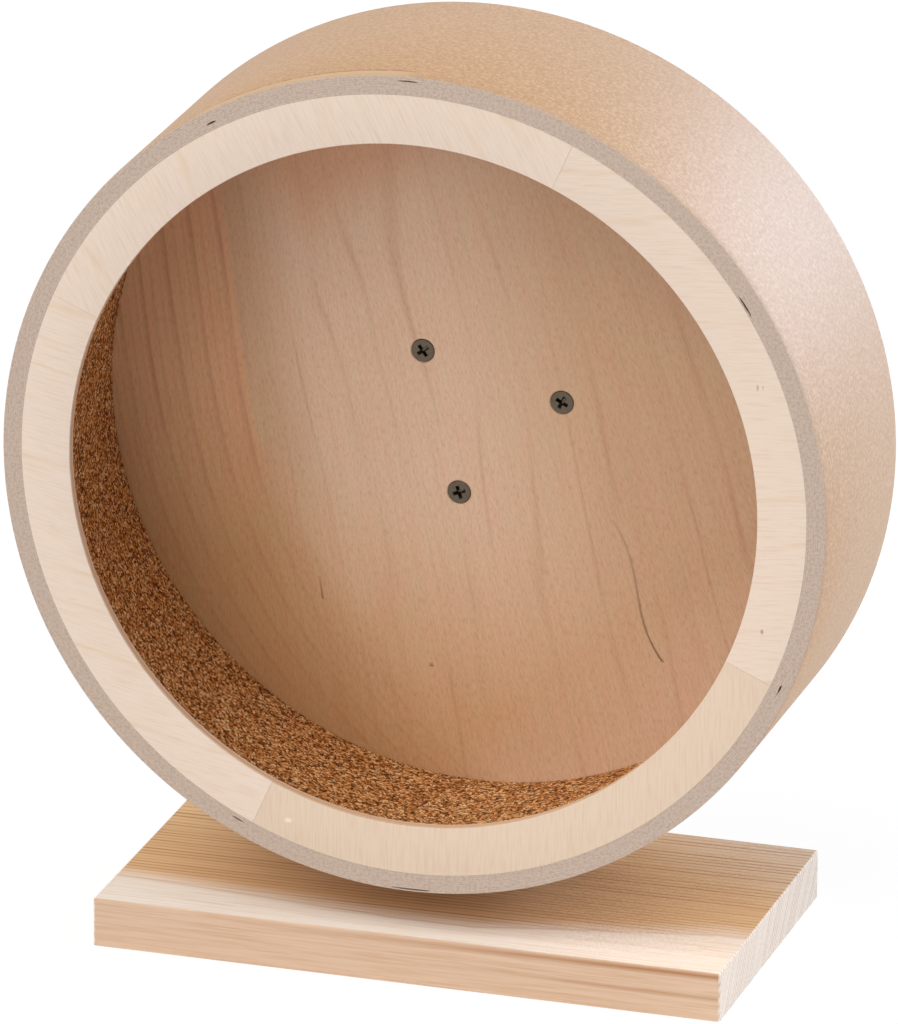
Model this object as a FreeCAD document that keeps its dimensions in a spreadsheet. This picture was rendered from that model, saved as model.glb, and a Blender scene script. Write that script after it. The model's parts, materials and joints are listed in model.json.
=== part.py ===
import FreeCAD, Part
import Sketcher
import math
import os

# Rodent exercise wheel: a lined drum that turns on a ball bearing in front of an L-shaped wooden stand.
# Frame: origin in the middle of the base board's underside, +Z up, the drum's open mouth faces -Y.
# Pieces on the axle have a local frame with x to the right, y up and z towards the viewer.

# Driving dimensions: millimetres, with angles in degrees counted from +X towards +Z.
SIZES = {
    # drum
    "drum_diameter": 285.0,
    "drum_wall": 6.5,
    "drum_length": 87.0,
    "drum_clearance": 14.6,
    "front_overhang": 4.0,
    "glue_line": 0.15,
    # front ring in four quarters
    "ring_width": 16.9,
    "ring_thickness": 4.0,
    "ring_joint_angle": 66.3,
    # back disc and cork sheet
    "disc_thickness": 8.0,
    "cork_thickness": 5.0,
    "cork_seam_width": 0.4,
    # screws through the disc into the hub
    "hub_screw_circle_radius": 29.3,
    "hub_screw_angle": 15.0,
    "hub_screw_shank": 3.2,
    "hub_screw_head": 8.2,
    "hub_screw_cover": 6.0,
    # hub block
    "hub_rim": 11.7,
    "hub_shoulder": 4.0,
    "hub_shoulder_step": 2.0,
    "hub_chamfer": 2.0,
    "running_gap": 11.0,
    # ball bearing
    "bearing_bore": 8.0,
    "bearing_diameter": 22.0,
    "ball_diameter": 3.969,
    "ball_play": 0.05,
    "race_shoulder": 1.45,
    "cage_thickness": 1.5,
    "cage_web": 0.5155,
    "pocket_play": 0.1,
    "shield_thickness": 0.3,
    "shield_inset": 0.15,
    "shield_gap": 0.45,
    "shield_play": 0.35,
    # axle
    "bolt_play": 0.05,
    "axle_hole_play": 0.2,
    "hexagon_flats": 13.0,
    "bolt_head_height": 5.3,
    "bolt_head_clearance": 0.7,
    "bolt_protrusion": 3.6,
    "bolt_tip_chamfer": 1.0,
    "shim_thickness": 1.0,
    "spacer_diameter": 12.0,
    "washer_diameter": 16.0,
    "washer_thickness": 1.6,
    "nut_hexagon_height": 6.4,
    "nut_collar_height": 1.6,
    "nut_collar_diameter": 12.0,
    "nut_insert_diameter": 10.2,
    "nut_insert_thickness": 1.8,
    "nut_insert_play": 0.05,
    # stand
    "base_width": 220.0,
    "base_thickness": 17.0,
    "base_arris": 0.8,
    "upright_thickness": 17.0,
    "fixing_spacing": 15.0,
    "fixing_margin": 15.0,
    "stand_screw_shank": 3.6,
    "stand_screw_head": 9.0,
    "stand_screw_bite": 33.0,
    "dowel_diameter": 8.0,
    "dowel_in_base": 24.0,
    "dowel_in_upright": 12.0,
    "dowel_chamfer": 1.0,
    # all wood screws
    "screw_hole_play": 0.05,
    "screw_rim": 0.3,
    "screw_point": 4.0,
    "recess_share_of_head": 0.52,
    "recess_slot": 1.1,
    "recess_depth": 1.7,
}

HUB_SCREW_COUNT = 3
BALL_COUNT = 7
RING_SEGMENTS = ("upper_left", "lower_left", "lower_right", "upper_right")

# Radii of the drum's pieces, as expressions on the sheet.
TUBE_OUTER = "(Sizes.drum_diameter / 2)"
TUBE_INNER = f"({TUBE_OUTER} - Sizes.drum_wall)"
LINER_OUTER = f"({TUBE_INNER} - Sizes.glue_line)"
RING_INNER = f"({TUBE_INNER} - Sizes.ring_width)"
CORK_INNER = f"({LINER_OUTER} - Sizes.cork_thickness)"

# Radii of the bearing and of what passes through it.
BALL_CIRCLE = "((Sizes.bearing_bore + Sizes.bearing_diameter) / 4)"
BALL_RADIUS = "(Sizes.ball_diameter / 2)"
GROOVE_RADIUS = f"({BALL_RADIUS} + Sizes.ball_play)"
INNER_SHOULDER = f"({BALL_CIRCLE} - Sizes.race_shoulder)"
OUTER_SHOULDER = f"({BALL_CIRCLE} + Sizes.race_shoulder)"
POCKET_RADIUS = f"({BALL_RADIUS} + Sizes.pocket_play)"
SHIELD_INNER = f"({INNER_SHOULDER} + Sizes.shield_play)"
BOLT_RADIUS = "(Sizes.bearing_bore / 2 - Sizes.bolt_play)"
AXLE_HOLE = "(Sizes.bearing_bore / 2 + Sizes.axle_hole_play)"
NUT_BORE = f"({BOLT_RADIUS} + Sizes.bolt_play)"

# Lengths along the axle.
CAGE_WIDTH = f"(2 * ({POCKET_RADIUS} + Sizes.cage_web))"
SHIELD_SET_BACK = "(Sizes.shield_inset + Sizes.shield_thickness)"
BEARING_WIDTH = f"({CAGE_WIDTH} + 2 * (Sizes.shield_gap + {SHIELD_SET_BACK}))"
HEAD_POCKET = "(Sizes.bolt_head_clearance + Sizes.bolt_head_height + Sizes.shim_thickness)"
HUB_THICKNESS = f"({HEAD_POCKET} + {BEARING_WIDTH} + Sizes.hub_shoulder)"
SPACER_LENGTH = "(Sizes.hub_shoulder + Sizes.running_gap - Sizes.washer_thickness)"
NUT_HEIGHT = "(Sizes.nut_hexagon_height + Sizes.nut_collar_height)"
GRIP_LENGTH = (
    f"(Sizes.shim_thickness + {BEARING_WIDTH} + {SPACER_LENGTH}"
    " + 2 * Sizes.washer_thickness + Sizes.upright_thickness)"
)
BOLT_LENGTH = f"({GRIP_LENGTH} + {NUT_HEIGHT} + Sizes.bolt_protrusion)"

# Sizes of the stand.
BASE_DEPTH = f"(Sizes.front_overhang + Sizes.drum_length + {HUB_THICKNESS} + Sizes.running_gap)"
AXLE_HEIGHT = f"(Sizes.base_thickness + Sizes.drum_clearance + {TUBE_OUTER})"
UPRIGHT_HALF_WIDTH = "(2 * Sizes.fixing_spacing + Sizes.fixing_margin)"
HUB_RADIUS = "(Sizes.hub_screw_circle_radius + Sizes.hub_rim)"
FIXING_HEIGHT = "(Sizes.base_thickness / 2)"
STAND_SCREW_PLACES = ("-2 * Sizes.fixing_spacing", "0", "2 * Sizes.fixing_spacing")
STAND_DOWEL_PLACES = ("-Sizes.fixing_spacing", "Sizes.fixing_spacing")

# Places along Y, from the drum's mouth to the nut.
DRUM_FRONT = f"(Sizes.front_overhang - {BASE_DEPTH} / 2)"
CORK_FRONT = f"({DRUM_FRONT} + Sizes.ring_thickness + Sizes.glue_line)"
HUB_FRONT = f"({DRUM_FRONT} + Sizes.drum_length)"
DISC_FRONT = f"({HUB_FRONT} - Sizes.disc_thickness)"
CORK_LENGTH = f"({DISC_FRONT} - {CORK_FRONT} - Sizes.glue_line)"
BOLT_SEAT = f"({HUB_FRONT} + Sizes.bolt_head_clearance + Sizes.bolt_head_height)"
BEARING_FRONT = f"({HUB_FRONT} + {HEAD_POCKET})"
BEARING_MIDDLE = f"({BEARING_FRONT} + {BEARING_WIDTH} / 2)"
SPACER_FRONT = f"({BEARING_FRONT} + {BEARING_WIDTH})"
UPRIGHT_FRONT = f"({BASE_DEPTH} / 2)"
FRONT_WASHER_FRONT = f"({UPRIGHT_FRONT} - Sizes.washer_thickness)"
UPRIGHT_BACK = f"({UPRIGHT_FRONT} + Sizes.upright_thickness)"
NUT_FRONT = f"({UPRIGHT_BACK} + Sizes.washer_thickness)"
INSERT_FRONT = f"({NUT_FRONT} + {NUT_HEIGHT} - Sizes.nut_insert_thickness)"

# Turns a local frame so that its z points at the viewer (-Y), or away to the back (+Y).
FACING_FRONT = FreeCAD.Rotation(FreeCAD.Vector(1, 0, 0), 90)
FACING_BACK = FreeCAD.Rotation(FreeCAD.Vector(0, 1, 1), 180)

doc = FreeCAD.newDocument("ExerciseWheel")
sheet = doc.addObject("Spreadsheet::Sheet", "Sizes")
pieces = []


def fill_sheet():
    """One row per driving dimension: its name, and its value under that name as alias."""
    for row, (alias, value) in enumerate(SIZES.items(), start=1):
        sheet.set(f"A{row}", alias)
        sheet.set(f"B{row}", str(value))
        sheet.setAlias(f"B{row}", alias)
    doc.recompute()


def bind(item, **expressions):
    """Tie properties of an object to expressions on the sheet."""
    for name, expression in expressions.items():
        item.setExpression(name, expression)


def place(item, rotation, x="0", y="0", z="0"):
    """Give an object its place in the part's frame."""
    item.Placement = FreeCAD.Placement(FreeCAD.Vector(), rotation)
    item.setExpression("Placement.Base.x", x)
    item.setExpression("Placement.Base.y", y)
    item.setExpression("Placement.Base.z", z)


def place_on_axle(item, y):
    """Set a piece on the axle with its front face at the given depth."""
    place(item, FACING_FRONT, y=y, z=AXLE_HEIGHT)


def piece(item, label):
    """Count an object as a sub-part, under the name of its file."""
    item.Label = label
    pieces.append(item)


def new_body(name):
    return doc.addObject("PartDesign::Body", name)


def new_sketch(body, name, role="XY_Plane"):
    """A sketch on one of the body's own origin planes."""
    sketch = body.newObject("Sketcher::SketchObject", name)
    plane = next(item for item in body.Origin.OriginFeatures if item.Role == role)
    sketch.AttachmentSupport = [(plane, "")]
    sketch.MapMode = "FlatFace"
    return sketch


def constrain(sketch, kind, *where, to):
    """Add a dimension to a sketch and tie it to an expression."""
    number = sketch.addConstraint(Sketcher.Constraint(kind, *where, 1.0))
    sketch.setExpression(f"Constraints[{number}]", to)


def add_circle(sketch, radius, x="0", y="0"):
    """A circle at a place on the sketch. A leading minus puts it left of or below the origin."""
    start = [0 if place == "0" else -1 if place.startswith("-") else 1 for place in (x, y)]
    circle = sketch.addGeometry(Part.Circle(FreeCAD.Vector(*start, 0), FreeCAD.Vector(0, 0, 1), 1.0))
    constrain(sketch, "Radius", circle, to=radius)
    for kind, place, axis in (("DistanceX", x, -2), ("DistanceY", y, -1)):
        if place == "0":
            sketch.addConstraint(Sketcher.Constraint("PointOnObject", circle, 3, axis))
        elif place.startswith("-"):
            constrain(sketch, kind, circle, 3, -1, 1, to=place[1:])
        else:
            constrain(sketch, kind, -1, 1, circle, 3, to=place)


def add_rectangle(sketch, half_width, half_height):
    """A rectangle centred on the sketch's origin."""
    corners = [FreeCAD.Vector(x, y, 0) for x, y in ((-1, -1), (1, -1), (1, 1), (-1, 1))]
    sides = []
    for corner, following in zip(corners, corners[1:] + corners[:1]):
        sides.append(sketch.addGeometry(Part.LineSegment(corner, following)))
    for side, following in zip(sides, sides[1:] + sides[:1]):
        sketch.addConstraint(Sketcher.Constraint("Coincident", side, 2, following, 1))
    for side, direction in zip(sides, ("Horizontal", "Vertical") * 2):
        sketch.addConstraint(Sketcher.Constraint(direction, side))
    sketch.addConstraint(Sketcher.Constraint("Symmetric", sides[0], 1, sides[1], 2, -1, 1))
    constrain(sketch, "DistanceX", sides[0], 1, sides[0], 2, to=f"2 * {half_width}")
    constrain(sketch, "DistanceY", sides[1], 1, sides[1], 2, to=f"2 * {half_height}")


def add_hexagon(sketch, flats):
    """A regular hexagon round the sketch's origin, with two flats at left and right."""
    corners = [FreeCAD.Rotation(FreeCAD.Vector(0, 0, 1), 30 + 60 * i) for i in range(6)]
    points = [turn.multVec(FreeCAD.Vector(1, 0, 0)) for turn in corners]
    sides = []
    for point, following in zip(points, points[1:] + points[:1]):
        sides.append(sketch.addGeometry(Part.LineSegment(point, following)))
    guide = sketch.addGeometry(Part.Circle(FreeCAD.Vector(), FreeCAD.Vector(0, 0, 1), 1.0), True)
    sketch.addConstraint(Sketcher.Constraint("Coincident", guide, 3, -1, 1))
    for side, following in zip(sides, sides[1:] + sides[:1]):
        sketch.addConstraint(Sketcher.Constraint("Coincident", side, 2, following, 1))
        sketch.addConstraint(Sketcher.Constraint("PointOnObject", side, 2, guide))
    for side in sides[:5]:
        sketch.addConstraint(Sketcher.Constraint("Equal", side, sides[5]))
    sketch.addConstraint(Sketcher.Constraint("Vertical", sides[5]))
    constrain(sketch, "DistanceX", sides[2], 1, sides[5], 1, to=flats)


def pad(body, sketch, length, backwards=True):
    """Thicken a sketch, away from the side that its plane faces unless told otherwise."""
    feature = body.newObject("PartDesign::Pad", f"{sketch.Name}Pad")
    feature.Profile = sketch
    feature.Reversed = backwards
    bind(feature, Length=length)
    doc.recompute()
    return feature


def cut_into(body, sketch, depth=None, backwards=False):
    """Pocket a sketch to a depth, or right through, and make sure that it took material away."""
    volume = body.Shape.Volume
    feature = body.newObject("PartDesign::Pocket", f"{sketch.Name}Pocket")
    feature.Profile = sketch
    feature.Reversed = backwards
    if depth:
        bind(feature, Length=depth)
    else:
        feature.Type = "ThroughAll"
    doc.recompute()
    if body.Shape.Volume >= volume:
        raise RuntimeError(f"{feature.Name} cuts nothing")
    return feature


def repeat_round_axle(body, sketch, feature, count):
    """Repeat a feature evenly round the normal of its sketch."""
    pattern = body.newObject("PartDesign::PolarPattern", f"{feature.Name}Pattern")
    pattern.Originals = [feature]
    pattern.Axis = (sketch, ["N_Axis"])
    pattern.Angle = 360
    pattern.Occurrences = count
    body.Tip = pattern
    doc.recompute()


def ring_body(name, outer, inner, length):
    """A flat-ended ring, its front face in the local xy plane."""
    body = new_body(name)
    sketch = new_sketch(body, f"{name}Profile")
    add_circle(sketch, outer)
    add_circle(sketch, inner)
    pad(body, sketch, length)
    return body


def cylinder(name, radius, length):
    """A cylinder from the local xy plane backwards."""
    item = doc.addObject("Part::Cylinder", name)
    bind(item, Radius=radius, Height=length)
    item.setExpression("Placement.Base.z", f"-{length}")
    return item


def cut(name, base, tool):
    item = doc.addObject("Part::Cut", name)
    item.Base = base
    item.Tool = tool
    return item


def ring_sector(name, outer, inner, length, start, sweep):
    """A stretch of a flat-ended ring, from one angle through another."""
    sector = cylinder(f"{name}Sector", outer, length)
    bind(sector, Angle=sweep)
    sector.Placement.Rotation = FreeCAD.Rotation(FreeCAD.Vector(0, 0, 1), 1)
    sector.setExpression("Placement.Rotation.Angle", start)
    return cut(name, sector, cylinder(f"{name}Opening", inner, length))


def group(name, items):
    """Like pieces that share one file, as separate solids."""
    item = doc.addObject("Part::Compound", name)
    item.Links = items
    return item


def screw_angle(number):
    return f"((Sizes.hub_screw_angle + {number} * 360 / {HUB_SCREW_COUNT}) * 1deg)"


def countersunk_hole(body, sketch, head, shank, backwards=False):
    """Drill a sketch's circles right through, with a seat for a 90 degree screw head."""
    volume = body.Shape.Volume
    hole = body.newObject("PartDesign::Hole", f"{sketch.Name}Hole")
    hole.Profile = sketch
    hole.Reversed = backwards
    doc.recompute()
    hole.DepthType = "ThroughAll"
    hole.HoleCutType = "Countersink"
    hole.HoleCutCustomValues = True
    hole.HoleCutCountersinkAngle = 90
    play = "2 * Sizes.screw_hole_play"
    bind(hole, Diameter=f"{shank} + {play}", HoleCutDiameter=f"{head} + 2 * Sizes.screw_rim + {play}")
    doc.recompute()
    if body.Shape.Volume >= volume:
        raise RuntimeError(f"{hole.Name} cuts nothing")
    return hole


def wood_screw(name, head, shank, length):
    """A countersunk screw with a cross recess, its head flush with the local xy plane."""
    body = new_body(name)
    sketch = new_sketch(body, f"{name}Profile", "XZ_Plane")
    rough_outline = ((0, 0), (4, 0), (4, -1), (2, -3), (2, -8), (0, -12))
    corners = [FreeCAD.Vector(x, y, 0) for x, y in rough_outline]
    sides = []
    for corner, following in zip(corners, corners[1:] + corners[:1]):
        sides.append(sketch.addGeometry(Part.LineSegment(corner, following)))
    for side, following in zip(sides, sides[1:] + sides[:1]):
        sketch.addConstraint(Sketcher.Constraint("Coincident", side, 2, following, 1))
    top, rim, cone, side, point, axis = sides
    sketch.addConstraint(Sketcher.Constraint("Coincident", top, 1, -1, 1))
    sketch.addConstraint(Sketcher.Constraint("Horizontal", top))
    for upright in (rim, side, axis):
        sketch.addConstraint(Sketcher.Constraint("Vertical", upright))
    constrain(sketch, "DistanceX", top, 1, top, 2, to=f"{head} / 2")
    constrain(sketch, "DistanceY", rim, 2, rim, 1, to="Sizes.screw_rim")
    constrain(sketch, "DistanceX", axis, 2, side, 1, to=f"{shank} / 2")
    constrain(sketch, "DistanceY", cone, 2, cone, 1, to=f"({head} - {shank}) / 2")
    constrain(sketch, "DistanceY", point, 2, point, 1, to="Sizes.screw_point")
    constrain(sketch, "DistanceY", axis, 1, axis, 2, to=length)
    turned = body.newObject("PartDesign::Revolution", f"{name}Turned")
    turned.Profile = sketch
    turned.ReferenceAxis = (sketch, ["V_Axis"])
    turned.Angle = 360
    doc.recompute()
    slot = new_sketch(body, f"{name}Slot")
    add_rectangle(slot, f"({head} * Sizes.recess_share_of_head / 2)", "(Sizes.recess_slot / 2)")
    recess = cut_into(body, slot, "Sizes.recess_depth")
    pattern = body.newObject("PartDesign::PolarPattern", f"{name}Cross")
    pattern.Originals = [recess]
    pattern.Axis = (slot, ["N_Axis"])
    pattern.Mode = "Spacing"
    pattern.Offset = 90
    pattern.Occurrences = 2
    body.Tip = pattern
    doc.recompute()
    return body


def edges_where(shape, test):
    """Names of the edges whose middle point passes a test."""
    found = []
    for number, edge in enumerate(shape.Edges, start=1):
        middle = edge.valueAt((edge.FirstParameter + edge.LastParameter) / 2)
        if test(edge, middle):
            found.append(f"Edge{number}")
    if not found:
        raise RuntimeError("no edge found to ease")
    return found


def chamfer(body, base, edges, size):
    feature = body.newObject("PartDesign::Chamfer", f"{base.Name}Chamfer")
    feature.Base = (base, edges)
    bind(feature, Size=size)
    doc.recompute()


def make_drum_tube():
    tube = ring_body("DrumTube", TUBE_OUTER, TUBE_INNER, "Sizes.drum_length")
    place_on_axle(tube, DRUM_FRONT)
    piece(tube, "drum_tube")


def make_front_ring():
    """Four quarters with a glue line between them, flush with the drum's cut end."""
    share = 360 / len(RING_SEGMENTS)
    joint = f"(Sizes.glue_line / ({TUBE_INNER} - Sizes.ring_width / 2) * 1rad / 1deg)"
    for number, side in enumerate(RING_SEGMENTS):
        start = f"Sizes.ring_joint_angle + {number * share} + {joint} / 2"
        sweep = f"{share} - {joint}"
        name = f"FrontRing{number + 1}"
        segment = ring_sector(name, LINER_OUTER, RING_INNER, "Sizes.ring_thickness", start, sweep)
        place_on_axle(segment, DRUM_FRONT)
        piece(segment, f"front_ring_{side}")


def make_cork_liner():
    """A cork sheet rolled into the drum, with its butt seam at the top."""
    seam = f"(Sizes.cork_seam_width / {CORK_INNER} * 1rad / 1deg)"
    start = f"90 + {seam} / 2"
    sweep = f"360 - {seam}"
    liner = ring_sector("CorkLiner", LINER_OUTER, CORK_INNER, CORK_LENGTH, start, sweep)
    place_on_axle(liner, CORK_FRONT)
    piece(liner, "cork_liner")


def screw_circle_sketch(body, name, radius):
    """The first hole of the screw circle."""
    sketch = new_sketch(body, name)
    first = screw_angle(0)
    add_circle(
        sketch,
        radius,
        x=f"Sizes.hub_screw_circle_radius * cos({first})",
        y=f"Sizes.hub_screw_circle_radius * sin({first})",
    )
    return sketch


def make_back_disc():
    disc = new_body("BackDisc")
    outline = new_sketch(disc, "DiscOutline")
    add_circle(outline, LINER_OUTER)
    pad(disc, outline, "Sizes.disc_thickness")
    holes = screw_circle_sketch(disc, "DiscHole", "Sizes.hub_screw_shank / 2")
    hole = countersunk_hole(disc, holes, "Sizes.hub_screw_head", "Sizes.hub_screw_shank")
    repeat_round_axle(disc, holes, hole, HUB_SCREW_COUNT)
    place_on_axle(disc, DISC_FRONT)
    piece(disc, "back_disc")


def make_hub_block():
    """A turned block that holds the bearing, the bolt's head and the three screws."""
    hub = new_body("HubBlock")
    outline = new_sketch(hub, "HubOutline")
    add_circle(outline, HUB_RADIUS)
    block = pad(hub, outline, HUB_THICKNESS)
    back_rim = edges_where(block.Shape, lambda edge, middle: middle.z < 0)
    chamfer(hub, block, back_rim, "Sizes.hub_chamfer")
    seat = new_sketch(hub, "HubSeat")
    add_circle(seat, "Sizes.bearing_diameter / 2")
    cut_into(hub, seat, f"{HEAD_POCKET} + {BEARING_WIDTH}")
    passage = new_sketch(hub, "HubPassage")
    add_circle(passage, "Sizes.bearing_diameter / 2 - Sizes.hub_shoulder_step")
    cut_into(hub, passage)
    pilot = screw_circle_sketch(hub, "HubPilot", "Sizes.hub_screw_shank / 2 + Sizes.screw_hole_play")
    pilot_hole = cut_into(hub, pilot, f"{HUB_THICKNESS} - Sizes.hub_screw_cover + Sizes.screw_hole_play")
    repeat_round_axle(hub, pilot, pilot_hole, HUB_SCREW_COUNT)
    place_on_axle(hub, HUB_FRONT)
    piece(hub, "hub_block")


def make_hub_screws():
    length = f"(Sizes.disc_thickness + {HUB_THICKNESS} - Sizes.hub_screw_cover)"
    screws = []
    for number in range(HUB_SCREW_COUNT):
        name = f"HubScrew{number + 1}"
        screw = wood_screw(name, "Sizes.hub_screw_head", "Sizes.hub_screw_shank", length)
        across = f"Sizes.hub_screw_circle_radius * cos({screw_angle(number)})"
        above = f"Sizes.hub_screw_circle_radius * sin({screw_angle(number)})"
        place(screw, FACING_FRONT, x=across, y=DISC_FRONT, z=f"{AXLE_HEIGHT} + {above}")
        screws.append(screw)
    piece(group("HubScrews", screws), "hub_screws")


def race(name, outer, inner):
    """A bearing race with a round groove for the balls half way along it."""
    body = ring_body(name, outer, inner, BEARING_WIDTH)
    groove = body.newObject("PartDesign::SubtractiveTorus", f"{name}Groove")
    bind(groove, Radius1=BALL_CIRCLE, Radius2=GROOVE_RADIUS)
    plane = next(item for item in body.Origin.OriginFeatures if item.Role == "XY_Plane")
    groove.AttachmentSupport = [(plane, "")]
    groove.MapMode = "FlatFace"
    groove.setExpression("AttachmentOffset.Base.z", f"-{BEARING_WIDTH} / 2")
    place_on_axle(body, BEARING_FRONT)
    doc.recompute()
    return body


def make_bearing():
    piece(race("OuterRace", "Sizes.bearing_diameter / 2", OUTER_SHOULDER), "bearing_outer_race")
    piece(race("InnerRace", INNER_SHOULDER, "Sizes.bearing_bore / 2"), "bearing_inner_race")
    front_shield = f"{BEARING_FRONT} + Sizes.shield_inset"
    back_shield = f"{SPACER_FRONT} - {SHIELD_SET_BACK}"
    shields = []
    for name, depth in (("FrontShield", front_shield), ("BackShield", back_shield)):
        shield = ring_body(name, OUTER_SHOULDER, SHIELD_INNER, "Sizes.shield_thickness")
        place_on_axle(shield, depth)
        shields.append(shield)
    piece(group("Shields", shields), "bearing_shields")


def ball_angle(number):
    return f"({number} * 360deg / {BALL_COUNT})"


def make_balls():
    balls = []
    for number in range(BALL_COUNT):
        ball = doc.addObject("Part::Sphere", f"Ball{number + 1}")
        bind(ball, Radius=BALL_RADIUS)
        across = f"{BALL_CIRCLE} * cos({ball_angle(number)})"
        above = f"{BALL_CIRCLE} * sin({ball_angle(number)})"
        place(ball, FACING_FRONT, x=across, y=BEARING_MIDDLE, z=f"{AXLE_HEIGHT} + {above}")
        balls.append(ball)
    piece(group("Balls", balls), "bearing_balls")


def make_cage():
    """A thin ring with a round pocket through it for each ball."""
    cage = new_body("Cage")
    outline = new_sketch(cage, "CageOutline")
    add_circle(outline, f"{BALL_CIRCLE} + Sizes.cage_thickness / 2")
    add_circle(outline, f"{BALL_CIRCLE} - Sizes.cage_thickness / 2")
    pad(cage, outline, CAGE_WIDTH)
    pocket = new_sketch(cage, "CagePocket", "YZ_Plane")
    add_circle(pocket, POCKET_RADIUS, y=f"-{CAGE_WIDTH} / 2")
    window = cut_into(cage, pocket, backwards=True)
    repeat_round_axle(cage, outline, window, BALL_COUNT)
    place_on_axle(cage, f"{BEARING_MIDDLE} - {CAGE_WIDTH} / 2")
    piece(cage, "bearing_cage")


def make_axle_bolt():
    """A hexagon bolt, its head trapped between the disc and the bearing."""
    bolt = new_body("AxleBolt")
    head = new_sketch(bolt, "BoltHead")
    add_hexagon(head, "Sizes.hexagon_flats")
    pad(bolt, head, "Sizes.bolt_head_height", backwards=False)
    shank = new_sketch(bolt, "BoltShank")
    add_circle(shank, BOLT_RADIUS)
    stem = pad(bolt, shank, BOLT_LENGTH)
    lowest = stem.Shape.BoundBox.ZMin
    tip = edges_where(stem.Shape, lambda edge, middle: abs(middle.z - lowest) < Part.Precision.confusion())
    chamfer(bolt, stem, tip, "Sizes.bolt_tip_chamfer")
    place_on_axle(bolt, BOLT_SEAT)
    piece(bolt, "axle_bolt")


def make_axle_rings():
    """What the bolt clamps: a shim under its head, a spacer, and a washer on each side of the upright."""
    spacer = "Sizes.spacer_diameter / 2"
    washer = "Sizes.washer_diameter / 2"
    rings = (
        ("HeadShim", "head_shim", spacer, "Sizes.shim_thickness", BOLT_SEAT),
        ("AxleSpacer", "axle_spacer", spacer, SPACER_LENGTH, SPACER_FRONT),
        ("FrontWasher", "front_washer", washer, "Sizes.washer_thickness", FRONT_WASHER_FRONT),
        ("RearWasher", "rear_washer", washer, "Sizes.washer_thickness", UPRIGHT_BACK),
    )
    for name, label, outer, length, depth in rings:
        ring = ring_body(name, outer, AXLE_HOLE, length)
        place_on_axle(ring, depth)
        piece(ring, label)


def make_axle_nut():
    """A lock nut: hexagon, round collar, and a nylon ring in the collar."""
    nut = new_body("AxleNut")
    hexagon = new_sketch(nut, "NutHexagon")
    add_hexagon(hexagon, "Sizes.hexagon_flats")
    pad(nut, hexagon, "Sizes.nut_hexagon_height")
    collar = new_sketch(nut, "NutCollar")
    add_circle(collar, "Sizes.nut_collar_diameter / 2")
    pad(nut, collar, NUT_HEIGHT)
    bore = new_sketch(nut, "NutBore")
    add_circle(bore, NUT_BORE)
    cut_into(nut, bore)
    seat = new_sketch(nut, "NutInsertSeat")
    seat.setExpression("AttachmentOffset.Base.z", f"-{NUT_HEIGHT}")
    add_circle(seat, "Sizes.nut_insert_diameter / 2")
    cut_into(nut, seat, "Sizes.nut_insert_thickness", backwards=True)
    place_on_axle(nut, NUT_FRONT)
    piece(nut, "axle_nut")
    insert_radius = "Sizes.nut_insert_diameter / 2 - Sizes.nut_insert_play"
    insert = ring_body("NutInsert", insert_radius, NUT_BORE, "Sizes.nut_insert_thickness")
    place_on_axle(insert, INSERT_FRONT)
    piece(insert, "nut_insert")


def add_fixing_circles(sketch, places, radius):
    """Circles side by side at half the base board's thickness."""
    for x in places:
        add_circle(sketch, radius, x=x, y=FIXING_HEIGHT)


def make_base_board():
    """A planed board with eased arrises, drilled in its back edge for the upright's screws and dowels."""
    board = new_body("BaseBoard")
    outline = new_sketch(board, "BoardOutline")
    add_rectangle(outline, "(Sizes.base_width / 2)", f"({BASE_DEPTH} / 2)")
    slab = pad(board, outline, "Sizes.base_thickness", backwards=False)
    box = slab.Shape.BoundBox
    near = Part.Precision.confusion()

    def eased(edge, middle):
        at_back = middle.y > box.YMax - near
        at_floor = middle.z < box.ZMin + near
        return not at_back and not at_floor

    easing = board.newObject("PartDesign::Fillet", "BoardArris")
    easing.Base = (slab, edges_where(slab.Shape, eased))
    bind(easing, Radius="Sizes.base_arris")
    doc.recompute()
    pilot_radius = "Sizes.stand_screw_shank / 2 + Sizes.screw_hole_play"
    pilot_depth = "Sizes.stand_screw_bite + Sizes.screw_hole_play"
    fixings = (
        ("BoardPilots", STAND_SCREW_PLACES, pilot_radius, pilot_depth),
        ("BoardDowelHoles", STAND_DOWEL_PLACES, "Sizes.dowel_diameter / 2", "Sizes.dowel_in_base"),
    )
    for name, places, radius, depth in fixings:
        holes = new_sketch(board, name, "XZ_Plane")
        holes.setExpression("AttachmentOffset.Base.z", f"-{UPRIGHT_FRONT}")
        add_fixing_circles(holes, places, radius)
        cut_into(board, holes, depth, backwards=True)
    place(board, FreeCAD.Rotation())
    piece(board, "base_board")


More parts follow.
